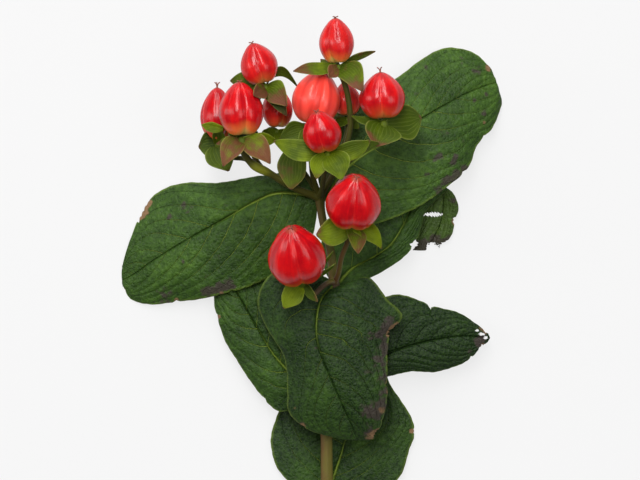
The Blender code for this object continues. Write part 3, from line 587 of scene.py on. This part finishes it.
LEAVES["leaf_bottom"] = dict(
    left=[(0.6, -66.6, 1.8), (-8.5, -60.5, 2), (-12.2, -53.5, 1.4), (-11.5, -46, 1.1), (-7, -37, 1.2),
        (-1, -27, 1.4), (6.5, -17.9, 1.5)],
    midrib=[(2, -66.3, 1.5), (3.4, -60, 1.2), (5.4, -54, 0.9), (7, -47.5, 0.8), (7.8, -39, 0.9),
        (8, -28.5, 1.2), (7.6, -17.2, 1.6)],
    right=[(3.4, -66.6, 1.8), (18, -62, 1.6), (22.6, -53, 1.7), (23.6, -46, 1.6), (17.8, -36.5, 1.5),
        (14.2, -26.5, 1.5), (8.7, -17.9, 1.5)],
    tears=[(23.2, -48.2, 0.8, 0.7), (-9, -41, 0.6, 0.3)],
    spots=[(18, -45, 0.9, 0.4), (-5, -52, 0.8, 0.4)],
    scorch=[(23, -48.2, 0.8, 0.5)],
    bulge=0.4, youth=-0.1)
# Where side veins start along each half of the midrib. Those before 0 and past 1 only shape the relief.
VEIN_STARTS = {
    "left": [-0.75, -0.5, -0.3, -0.12, 0.08, 0.215, 0.4, 0.52, 0.61, 0.72, 0.82, 0.91, 1, 1.2],
    "right": [-0.75, -0.5, -0.3, -0.14, 0, 0.1, 0.178, 0.29, 0.4, 0.51, 0.62, 0.73, 0.83, 0.92, 1.2],
}


def shell(points, above, below, tones, keep=None):
    """A thin closed blade from a grid of points: each is moved along the grid's normal by above, and
    against it by below, and a strip of faces runs round every free edge. The tone upper is 1 on top."""
    rows, columns = points.shape[:2]
    normal = unit(np.cross(np.gradient(points, axis=0), np.gradient(points, axis=1)))
    if normal[: rows // 2, :, 2].mean() < 0:
        normal = -normal
    here = np.arange(rows * columns).reshape(rows, columns)
    quads = np.stack([here[:-1, :-1], here[1:, :-1], here[1:, 1:], here[:-1, 1:]], axis=-1)
    quads = quads.reshape(-1, 4) if keep is None else quads[keep]
    count = rows * columns
    tail, head = quads.ravel(), np.roll(quads, -1, axis=1).ravel()
    free = ~np.isin(tail * count + head, head * count + tail)
    strip = np.stack([head[free], tail[free], tail[free] + count, head[free] + count], axis=-1)
    both = np.vstack([(points + normal * above[..., None]).reshape(-1, 3),
                      (points - normal * below[..., None]).reshape(-1, 3)])
    values = {key: np.tile(tone.ravel(), 2) for key, tone in tones.items()}
    values["upper"] = np.repeat((1.0, 0.0), count)
    return both, [quads, quads[:, ::-1] + count, strip], values


def marks_at(points, marks):
    """The sum over marks (x, y, reach, strength) of the strength, which fades as a bell with distance."""
    total = np.zeros(points.shape[:-1])
    for x, y, reach, strength in marks:
        total += strength * np.exp(-((points[..., 0] - x) ** 2 + (points[..., 1] - y) ** 2) / reach**2)
    return total


def leaf_part(leaf, seed):
    """A blade between its left margin, midrib and right margin, with the rows' root tucked to the stem.

    Along it u goes from 0 at the base to 1 at the tip, and across it v from -1 to 1. Side veins start
    on the midrib at VEIN_STARTS and reach further along by VEIN_LEAN times v plus VEIN_BEND times v
    cubed. The blade swells between them, and waves a little towards its margin.
    """
    rails = {}
    middle = np.array(leaf["midrib"], float)
    root = middle[0] + unit(middle[0] - middle[1]) * LEAF_ROOT
    for side in ("left", "midrib", "right"):
        rail = np.array(leaf[side], float)
        rails[side] = np.vstack([root + (rail[0] - middle[0]) * LEAF_ROOT_WIDTH, rail])
    share = np.linspace(0, 1, LEAF_ROWS)
    u = np.clip((share * len(middle) - 1) / (len(middle) - 1), 0, 1)[:, None]
    v = np.linspace(-1, 1, LEAF_COLUMNS + 1)[None]
    a = np.abs(v)
    mid = spline(rails["midrib"], share)
    edges = []
    for side in ("left", "right"):
        edge = spline(rails[side], share)
        out = edge - mid
        half_width = np.linalg.norm(out, axis=1)
        rough = sum(height * np.sin(waves * share + k * seed)
                    for k, (height, waves) in enumerate(MARGIN_ROUGHNESS, start=1))
        rough = rough * np.clip(half_width / NARROW, 0, 1)
        pull = np.minimum(marks_at(edge, leaf["tears"]), half_width * TEAR_LIMIT)
        pull = pull * (1 + TEAR_TEETH * np.sin(TEAR_TEETH_WAVES * share + seed))
        edges.append(mid + out * ((half_width + rough - pull) / np.maximum(half_width, 0.01))[:, None])
    margin = np.where((v < 0)[..., None], edges[0][:, None], edges[1][:, None])
    points = mid[:, None] + (margin - mid[:, None]) * a[..., None]
    length = np.linalg.norm(np.diff(mid, axis=0), axis=1).sum()
    origin = u - VEIN_LEAN * a - VEIN_BEND * a**3
    phase, spacing = np.zeros(points.shape[:2]), np.zeros(points.shape[:2])
    for side, here in (("left", v < 0), ("right", v >= 0)):
        starts = np.array(VEIN_STARTS[side])
        starts += VEIN_JITTER * np.sin(seed + np.arange(len(starts)))
        gap = np.gradient(starts)
        phase = np.where(here, np.interp(origin, starts, np.arange(len(starts))), phase)
        spacing = np.where(here, np.interp(origin, starts, gap) * length, spacing)
    between = np.abs(phase - np.round(phase)) * 2
    rib = np.linalg.norm(points - mid[:, None], axis=-1)
    force = np.clip(origin * 12 + 0.4, 0.12, 1)
    fade = force * np.clip((1 - a) * 5, 0, 1) * np.clip(u * 8, 0, 1) * np.clip((1 - u) * 6, 0, 1)
    lift = PILLOW * np.sin(math.pi / 2 * between) ** PILLOW_ROUNDNESS * fade * np.clip(rib / 2, 0, 1)
    lift += leaf["bulge"] * 4 * a * (1 - a) * np.sin(math.pi * u) ** 0.5
    lift += MARGIN_WAVE * a**3 * np.sin(19 * u + 5 * v + seed) * np.clip(u * 4, 0, 1)
    lift -= MIDRIB_GROOVE * np.exp(-((rib / MIDRIB_GROOVE_REACH) ** 2)) * np.clip(1.2 - u, 0, 1)
    points[..., 2] = np.maximum(points[..., 2] + lift, LEAF_HALF)
    above = LEAF_HALF * (1 - (1 - LEAF_EDGE) * a**6) * np.ones_like(u)
    keel = MIDRIB_KEEL * np.exp(-((rib / MIDRIB_KEEL_REACH) ** 2)) * (1 - u) * (points[..., 2] > 1)
    keep = np.ones((LEAF_ROWS - 1, LEAF_COLUMNS), bool)
    centre = points[:-1, :-1]
    for x, y, half_length, half_width in leaf.get("holes", ()):
        rough = 0.25 * np.sin(7 * centre[..., 0] + seed) + 0.2 * np.sin(11 * centre[..., 1])
        inside = ((centre[..., 0] - x) / half_length) ** 2 + ((centre[..., 1] - y) / half_width) ** 2
        keep &= (inside + rough > 1) | (u[:-1] < HOLES_FROM)
    scorch = marks_at(points, leaf["scorch"]) * np.clip(a * 1.2, 0, 1)
    scorch += marks_at(points, leaf["tears"]) * np.clip((a - 0.8) * 5, 0, 1)
    level = np.ones_like(rib)
    tones = {"along": u * level, "across": a * level, "rib_mm": rib, "vein": phase, "gap_mm": spacing,
             "force": force, "spot": marks_at(points, leaf["spots"]), "scorch": scorch,
             "youth": leaf["youth"] * level}
    return shell(points, above, above + keel, tones, keep)


blade = Finish("leaf_dark", Specular_IOR_Level=0.18)
along, across = blade.tone("along"), blade.tone("across")
rib_mm, youth, upper = blade.tone("rib_mm"), blade.tone("youth"), blade.tone("upper")
cloud = blade.noise(90, 4)
grain = blade.noise(900, 4)
cells = blade.node("ShaderNodeTexVoronoi", {"feature": "DISTANCE_TO_EDGE"},
                   {"Vector": blade.place, "Scale": 1150, "Randomness": 1.0})
net = 1 - blade.step(cells, 0.0, 0.16)
wander = (blade.noise(260, 1) - 0.5) * 0.16
vein_mm = (blade.tone("vein") + wander).from_whole() * blade.tone("gap_mm")
strength = (1 - blade.step(across, 0.45, 1.0)) * (1 - blade.step(along, 0.2, 0.8) * 0.6)
strength = strength * blade.step(youth, -0.7, 0.3)
vein_line = (1 - blade.step(vein_mm, 0.04, 0.2)) * blade.tone("force")
side_vein = vein_line * strength
groove = 1 - blade.step(rib_mm + along * 0.5, 0.15, 0.8)
midrib = groove * (1 - blade.step(along, 0.2, 0.62)) * blade.step(youth, -0.9, 0.1)
colour = blade.mix(blade.step(cloud * 0.9 + youth * 0.5 + grain * 0.7, 0.5, 1.2), LEAF_DARK, LEAF_MID)
colour = blade.mix(blade.step(cloud + youth * 0.4 + grain * 0.8, 1.0, 1.5) * 0.7, colour, LEAF_LIGHT)
colour = blade.mix(net * 0.14, colour, LEAF_LIGHT)
under = blade.mix(blade.step(grain * 0.5 + cloud * 0.5, 0.35, 0.7) * 0.6, LEAF_UNDER, LEAF_LIGHT)
colour = blade.mix(upper, under, colour)
# A thin pale line along the margin: partly the margin's own paler edge, partly a painted highlight on the
# curled rim.
colour = blade.mix(blade.step(across, 0.955, 1.0) * 0.3, colour, LEAF_VEIN)
# Painted shade: the midrib's groove in the outer half and the side veins' lines are darkened, as the
# shade that lies in these creases.
colour = blade.mix(groove * blade.step(along, 0.3, 0.6) * 0.5 + vein_line * 0.3, colour, LEAF_DARK)
colour = blade.mix(blade.step(side_vein * 1.3 + midrib * 1.1, 0.02, 1.0) * 0.8, colour, LEAF_VEIN)
ragged = blade.noise(650, 5)
spot = blade.step(blade.tone("spot") * 1.3 + (ragged - 0.5) * 2.2, 0.45, 0.95)
colour = blade.mix(spot * 0.85, colour, LEAF_SPOT)
scorched = blade.step(blade.tone("scorch") + (ragged - 0.5) * 0.9, 0.45, 0.8)
colour = blade.mix(scorched, colour, LEAF_SCORCH)
blade.paint("Base Color", colour)
blade.paint("Roughness", 0.46 + cloud * 0.14 + scorched * 0.25)
blade.bump(cells * 0.5 + grain * 0.9 + cloud * 1.6 - vein_line * 1.2 * upper - groove * 0.8, 0.0005)
for seed, (name, leaf) in enumerate(LEAVES.items()):
    piece = add_piece(name + "_blade", [leaf_part(leaf, seed)], blade)
    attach(piece, "root")
    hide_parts(name)

# The sepals are the five small leaves under each berry, on a green cup at the end of its stalk. They
# stay on as the berry swells, lime green to olive with a red-brown flush. One bract stands on its own.
SEPAL_ROWS = 34
SEPAL_COLUMNS = 18
SEPAL_HALF = 0.16
SEPAL_HOLLOW = 0.22
SEPAL_ROOT_SHARE = 0.13
SEPAL_TIP_SHARE = 0.985
SEPAL_FULLNESS = 0.95
KNEE_ACROSS = 0.62
KNEE_ALONG = 0.3
SEPAL_WAVE = 0.05
SEPAL_RIBS = 0.03
MARGIN_CURL = 0.12
MIDDLE_CURL = 0.1
# The cup's rings: how far along the berry's axis and how wide, in shares of the cup's radius.
CUP_STEPS = np.array((-1.7, -1.35, -1, -0.7, -0.3, 0.1, 0.5, 0.8))
CUP_WIDTHS = np.array((0.42, 0.48, 0.6, 0.74, 0.82, 0.8, 0.7, 0.4))
CUP_SIDES = 24
CUP_WAVE = 0.04
SEPAL_LIME = (0.115, 0.158, 0.001)
SEPAL_GREEN = (0.042, 0.068, 0.002)
SEPAL_DEEP = (0.018, 0.034, 0.003)
SEPAL_FLUSH = (0.13, 0.036, 0.022)
SEPAL_PALE = (0.26, 0.3, 0.06)
SEPAL_DRY = (0.1, 0.05, 0.025)
BRACT_ROOT = (-6.4, 23.6, 17)
BRACT = ((-7.2, 12.6, 17.6), 7.4, 10)
BRACT_AXIS = (0.2, 0.1, 1)
BRACT_TINT = (0.45, 0.62)
# The third berry has one sepal more, a small one that is folded over to the left.
FOLDED_SEPAL = 3
FOLD_ROOT = (-24, 27.6, 21.4)
FOLD = ((-29.5, 28.7, 21.8), 2.6, 0)
# For each berry's sepals in turn: how red its flush is, and how dark its green.
SEPAL_TINTS = [
    [(0.6, 0.5), (0.95, 0.5), (0.5, 0.5), (0.35, 0.5), (0.4, 0.6)],
    [(0.2, 0.65), (0.85, 0.5), (0.5, 0.45), (0.2, 0.7), (0.3, 0.95)],
    [(0.1, 0.3), (0.3, 0.7), (0.25, 0.8), (0.4, 0.6), (0.4, 0.6)],
    [(0.7, 0.4), (0.75, 0.35), (0.05, 0.3), (0.3, 0.6), (0.3, 0.6)],
    [(0.2, 0.5)] * 5,
    [(0.05, 0.6), (0.3, 0.6), (0.1, 0.5), (0.2, 0.5), (0.2, 0.5)],
    [(0.12, 0.4), (0.35, 0.3), (0.1, 0.32), (0.15, 0.45), (0.05, 0.55)],
    [(0.4, 0.62), (0.1, 0.72), (0.3, 0.6), (0.2, 0.6), (0.2, 0.6)],
    [(0.2, 0.6)] * 5,
    [(0.35, 0.25), (0.65, 0.45), (0.25, 0.2), (0.2, 0.4), (0.2, 0.4)],
    [(0.2, 0.15), (0.3, 0.65), (0.1, 0.5), (0.1, 0.5), (0.2, 0.5)],
]


def turned(vector, axis, degrees):
    """A vector turned about an axis, as its part along, across and square to the axis."""
    angle = math.radians(degrees)
    along_axis = axis * np.dot(vector, axis)
    return along_axis + (vector - along_axis) * math.cos(angle) + np.cross(axis, vector) * math.sin(angle)


def sepal_part(tint, seed, root, axis, tip, width, roll, rise=0, sway=0):
    """A blade on a curve of three points: its root, a knee out from the berry's axis, and its tip.

    The knee is moved along the axis by rise and sideways by sway. The half width follows a sine. It is
    ribbed lengthwise by a cosine across it, and its margin waves a little.
    """
    root, tip, axis = np.array(root, float), np.array(tip, float), unit(axis)
    reach = tip - root
    up_axis = axis * np.dot(reach, axis)
    knee = root + (reach - up_axis) * KNEE_ACROSS + up_axis * KNEE_ALONG + axis * rise
    ahead = unit(reach)
    side = turned(unit(np.cross(ahead, (0, 0, 1))), ahead, roll)
    face = np.cross(side, ahead)
    knee = knee + side * sway
    u = np.linspace(0, 1, SEPAL_ROWS)[:, None]
    v = np.linspace(-1, 1, SEPAL_COLUMNS + 1)[None]
    line = root * (1 - u) ** 2 + knee * 2 * u * (1 - u) + tip * u**2
    share = SEPAL_ROOT_SHARE + (SEPAL_TIP_SHARE - SEPAL_ROOT_SHARE) * u
    wave = 1 + SEPAL_WAVE * np.sin(9 * u + seed) * np.sign(v)
    half_width = width / 2 * np.sin(math.pi * share) ** SEPAL_FULLNESS * wave
    lift = SEPAL_HOLLOW * half_width * v**2 + SEPAL_RIBS * np.cos(3 * math.pi * v) * np.sin(math.pi * u)
    lift = lift + MARGIN_CURL * v**2 * np.sin(7 * u + 1.7 * seed)
    lift = lift + MIDDLE_CURL * np.sin(3 * u + seed) * (1 - v**2) * u
    points = line[:, None] + (side * (half_width * v)[..., None] + face * lift[..., None])
    points[..., 2] = np.maximum(points[..., 2], SEPAL_HALF)
    half_thick = SEPAL_HALF * (1 - 0.55 * np.abs(v) ** 4) * (1.25 - 0.5 * u)
    level = np.ones_like(half_thick)
    flush, shade = tint
    tones = {"along": u * level, "across": v * level, "flush": flush * level, "shade": shade * level}
    return shell(points, half_thick, half_thick, tones)


def cup_part(berry):
    """A small green cup: rings about the berry's axis, from its stalk's width out to the cup's and in."""
    radius, axis = cup_radius(berry), berry_axis(berry)
    side = unit(np.cross(axis, (0.1, 0.2, 1)))
    up = np.cross(axis, side)
    phi = np.linspace(0, 2 * math.pi, CUP_SIDES, endpoint=False)
    line = cup_centre(berry) + axis * CUP_STEPS[:, None] * radius
    wide = (CUP_WIDTHS * radius)[:, None] * (1 + CUP_WAVE * np.cos(5 * phi))
    rings = line[:, None] + wide[..., None] * (np.cos(phi)[:, None] * side + np.sin(phi)[:, None] * up)
    level = np.ones_like(wide)
    tones = {"along": 0.1 * level, "across": 0 * level, "flush": 0.35 * level, "shade": 0.45 * level,
             "upper": level}
    return skin(rings, line[0], line[-1], tones)


frond = Finish("sepal_green", Specular_IOR_Level=0.1)
along, across = frond.tone("along"), frond.tone("across")
flush, shade = frond.tone("flush"), frond.tone("shade")
cloud = frond.noise(190, 3)
grain = frond.noise(900, 3)
edge = abs(across)
lines = (across * 4.5 + (grain - 0.5) * 0.5).from_whole()
line_mask = (1 - frond.step(lines, 0.04, 0.2)) * (1 - frond.step(edge, 0.7, 0.95))
greener = frond.step(shade + (cloud - 0.5) * 1.1 + (grain - 0.5) * 0.3, 0.1, 0.6)
colour = frond.mix(greener, SEPAL_LIME, SEPAL_GREEN)
colour = frond.mix(frond.step(shade + (cloud - 0.5) * 0.8, 0.55, 1.0), colour, SEPAL_DEEP)
colour = frond.mix(line_mask * 0.1, colour, SEPAL_PALE)
redden = flush + along**2 * 0.6 + edge**4 * 0.12 + (cloud - 0.5) * 1.3 + (grain - 0.5) * 0.5
colour = frond.mix(frond.step(redden, 0.62, 1.15) * 0.85, colour, SEPAL_FLUSH)
colour = frond.mix(frond.step(edge, 0.9, 0.99) * 0.35, colour, SEPAL_PALE)
colour = frond.mix(frond.step(along + (grain - 0.5) * 0.1, 0.95, 0.99) * 0.8, colour, SEPAL_DRY)
frond.paint("Base Color", colour)
frond.paint("Roughness", 0.42 + grain * 0.22)
frond.bump(grain * 0.4 - line_mask * 0.3 + cloud * 0.4, 0.00015)
for number, (berry, tints) in enumerate(zip(BERRIES, SEPAL_TINTS), start=1):
    parts = [cup_part(berry)]
    if number == FOLDED_SEPAL:
        parts.append(sepal_part(tints[0], number, FOLD_ROOT, berry_axis(berry), *FOLD))
    for index, (sepal, tint) in enumerate(zip(berry.sepals, tints)):
        seed = number * 1.7 + index * 2.3
        parts.append(sepal_part(tint, seed, cup_centre(berry), berry_axis(berry), *sepal))
    calyx = add_piece(f"calyx_{number:02d}_sepals", parts, frond)
    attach(calyx, "root")
    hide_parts(f"calyx_{number:02d}")
bract = add_piece("bract_blade", [sepal_part(BRACT_TINT, 4.2, BRACT_ROOT, BRACT_AXIS, *BRACT)], frond)
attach(bract, "root")
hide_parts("bract")

# The berries are fleshy red capsules of three lobes, with a groove between each two and fine ribs that
# run together at the tip. Their base is blushed with orange and green. One stands further back, paler.
BERRY_SIDES = 150
BERRY_RINGS = 92
BERRY_LEAN = 0.82
BERRY_FULLNESS = 0.56
GROOVE_DEPTH = 0.18
GROOVE_SHARPNESS = 1.9
LOBE_DROP = 0.055
LOBE_DROP_SHARE = 0.08
SEAM_DEPTH = 0.014
SEAM_WIDTH = 0.05
RIB_DEPTH = 0.02
# A rib's depth goes from the first share at the base up by the second at the tip.
RIB_SHARES = (0.4, 1.2)
# The ribs are a sum of cosines: how deep, how many round the berry, and how its number turns them.
RIB_WAVES = [(1, 9, 0.4), (0.5, 15, 2.1), (0.3, 24, 0)]
RIB_SUM = 1.8
# Short creases round the scar: how many, how deep, and their place and reach from base to tip.
CREASES = 12
CREASE_DEPTH = 0.035
CREASE_PLACE = 0.95
CREASE_REACH = 0.045
TIP_POINT = 0.35
BERRY_RED = (0.54, 0.004, 0.006)
BERRY_DEEP = (0.31, 0.001, 0.005)
BERRY_CORAL = (0.87, 0.075, 0.05)
BERRY_ORANGE = (0.72, 0.16, 0.035)
BERRY_BLUSH = (0.5, 0.36, 0.09)
BERRY_SCAR = (0.2, 0.04, 0.02)
# How far each berry is lifted towards coral, and how far its blush has stayed. The sixth berry is paler
# of its own; for the others the lift is painted light, which brightens berries that sit deep in the
# stem's shade and the upper ones, as if more light fell on them.
BERRY_PALE_AND_LIT = [0.14, 0.1, 0, 0.02, 0.25, 0.88, 0, 0.03, 0.4, 0, 0]
BERRY_UNRIPE = [0.9, 0.4, 0.5, 1, 0.7, 0.2, 0.4, 0.3, 0.5, 0.9, 0.2]


def berry_rings(berry, seed):
    """Rings of a berry: a sine bent towards its base, cut by three grooves, as the solids have it.

    Round the base the lobes hang down by a drop that rises and falls as x times e to the 1 - x. A seam
    runs down each groove. The ribs are cosines round the berry that grow towards the tip, where short
    creases surround the scar.
    """
    axis = berry_axis(berry)
    length = np.linalg.norm(np.subtract(berry.tip, berry.base))
    s = np.linspace(0, 1, BERRY_RINGS + 2)[1:-1][:, None]
    t = (1 - np.cos(math.pi * s)) / 2
    phi = np.linspace(0, 2 * math.pi, BERRY_SIDES, endpoint=False)[None]
    body = np.sin(math.pi * t**BERRY_LEAN) ** BERRY_FULLNESS * berry.width / 2
    turn = phi + math.pi / 2 + math.pi / 3
    wave = np.abs(np.cos(1.5 * turn))
    low = t / LOBE_DROP_SHARE
    groove = (1 - wave) ** GROOVE_SHARPNESS
    seam = np.exp(-((wave / SEAM_WIDTH) ** 2))
    rib = sum(share * np.cos(count * turn + shift * seed) for share, count, shift in RIB_WAVES) / RIB_SUM
    crease = np.cos(CREASES * turn + seed) * np.exp(-(((t - CREASE_PLACE) / CREASE_REACH) ** 2))
    radius = body * (1 - GROOVE_DEPTH * groove * (1 - berry.fade * t))
    radius *= 1 - SEAM_DEPTH * seam * np.sin(math.pi * t) ** 0.3
    depth = RIB_DEPTH * np.sin(math.pi * t) ** 0.5 * (RIB_SHARES[0] + RIB_SHARES[1] * t**2)
    radius *= 1 + depth * rib + crease * CREASE_DEPTH
    rise = length * (t - LOBE_DROP * low * np.exp(1 - low) * wave) + TIP_POINT * t**12
    flat = np.stack([radius * np.cos(phi), radius * np.sin(phi), rise], axis=-1)
    cosine, sine = math.cos(math.radians(berry.spin)), math.sin(math.radians(berry.spin))
    flat = flat @ np.array([[cosine, sine, 0], [-sine, cosine, 0], [0, 0, 1]])
    tones = {"rise": t, "groove": groove, "seam": seam, "rib": rib,
             "east": np.cos(phi), "north": np.sin(phi)}
    tones = {key: tone + 0 * radius for key, tone in tones.items()}
    return flat, tones, length, axis


def stand(points, berry, axis):
    """Points round an upright axis, turned the shortest way onto the berry's axis and moved there."""
    cross = np.cross((0, 0, 1), axis)
    cosine = axis[2]
    swing = np.array([[0, -cross[2], cross[1]], [cross[2], 0, -cross[0]], [-cross[1], cross[0], 0]])
    turn = np.eye(3) + swing + swing @ swing / (1 + cosine)
    return points @ turn.T + np.array(berry.base)


flesh = Finish("berry_red", Specular_IOR_Level=0.3, Subsurface_Weight=0.05, Subsurface_Scale=0.0015)
rise, groove = flesh.tone("rise"), flesh.tone("groove")
seam, rib, pale = flesh.tone("seam"), flesh.tone("rib"), flesh.tone("pale")
unripe = flesh.tone("unripe")
cloud = flesh.noise(260, 3)
lengthwise = flesh.node("ShaderNodeCombineXYZ", None,
                        {0: flesh.tone("east") * 5, 1: flesh.tone("north") * 5, 2: rise * 1.3})
fibre = flesh.node("ShaderNodeTexNoise", None, {"Vector": lengthwise, "Scale": 2.2, "Detail": 4})
speck = flesh.noise(2300, 1)
colour = flesh.mix(flesh.step(cloud * 0.7 + rib * 0.1 + fibre * 0.4, 0.35, 0.8), BERRY_DEEP, BERRY_RED)
warm = flesh.step(seam * (1.1 - rise) * 0.6 + groove * 0.2 + fibre * 0.3, 0.4, 1.1)
colour = flesh.mix(warm * 0.4, colour, BERRY_CORAL)
# Pallor and painted light: each berry is mixed towards coral by its share, the sixth for its own paler
# skin, the others as painted light.
colour = flesh.mix(pale * (0.72 + rib * 0.3), colour, BERRY_CORAL)
blush = 1 - flesh.step(rise + (cloud - 0.5) * 0.2 - groove * 0.08, 0.06, 0.3)
colour = flesh.mix(blush * unripe * 0.9, colour, BERRY_ORANGE)
low = 1 - flesh.step(rise + (cloud - 0.5) * 0.1 - groove * 0.08, 0.0, 0.13)
colour = flesh.mix(low * unripe, colour, BERRY_BLUSH)
colour = flesh.mix(flesh.step(rise, 0.965, 0.99) * 0.7, colour, BERRY_SCAR)
colour = flesh.mix(flesh.step(speck, 0.7, 0.78) * 0.25, colour, BERRY_CORAL)
flesh.paint("Base Color", colour)
flesh.paint("Roughness", 0.18 + cloud * 0.1 + pale * 0.1)
flesh.bump(fibre * 0.6 + cloud * 0.6, 0.00009)
for number, (berry, pallor_and_light, greenness) in enumerate(zip(BERRIES, BERRY_PALE_AND_LIT, BERRY_UNRIPE), start=1):
    flat, tones, length, axis = berry_rings(berry, number)
    level = np.ones_like(tones["rise"])
    tones.update(pale=pallor_and_light * level, unripe=greenness * level)
    ends = stand(np.array([(0, 0, 0), (0, 0, length + TIP_POINT)]), berry, axis)
    rings = stand(flat.reshape(-1, 3), berry, axis).reshape(flat.shape)
    piece = add_piece(f"berry_{number:02d}_flesh", [skin(rings, ends[0], ends[1], tones)], flesh)
    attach(piece, "root")
    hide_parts(f"berry_{number:02d}")

# Three dry styles are left at each berry's tip from its flower. They are thin brown threads that stand
# on the scar and bend outwards.
STYLE_RADII = [0.182, 0.14, 0.112, 0.14]
STYLE_SIDES = 8
STYLE_SUNK = 0.5
# A style's bends: how far up its length, and how far out in millimetres.
STYLE_BENDS = [(0.4, 0.1), (0.8, 0.35), (1, 0.75)]
STYLE_LENGTHS = [0.5, 0.5, 1.4, 0.4, 0.6, 0.5, 0.4, 1.3, 0.6, 0.3, 0.4]
STYLE_BROWN = (0.09, 0.04, 0.02)
STYLE_RED = (0.28, 0.05, 0.03)
style_parts = []
for number, (berry, style_length) in enumerate(zip(BERRIES, STYLE_LENGTHS)):
    axis = berry_axis(berry)
    tip = np.array(berry.tip) + axis * TIP_POINT * 0.5
    for third in range(3):
        lean = turned(unit(np.cross(axis, (0.3, 0.1, 1))), axis, 120 * third + 40 * number)
        route = [tip - axis * STYLE_SUNK]
        route += [tip + axis * style_length * up + lean * out for up, out in STYLE_BENDS]
        rings, line, tones = stalk(route, STYLE_RADII, STYLE_SIDES, third)
        style_parts.append(skin(rings, line[0], line[-1], tones))
husk = Finish("style_brown", Roughness=0.7)
husk.paint("Base Color", husk.mix(husk.noise(1500, 2), STYLE_BROWN, STYLE_RED))
styles = add_piece("berry_styles", style_parts, husk)
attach(styles, "root")
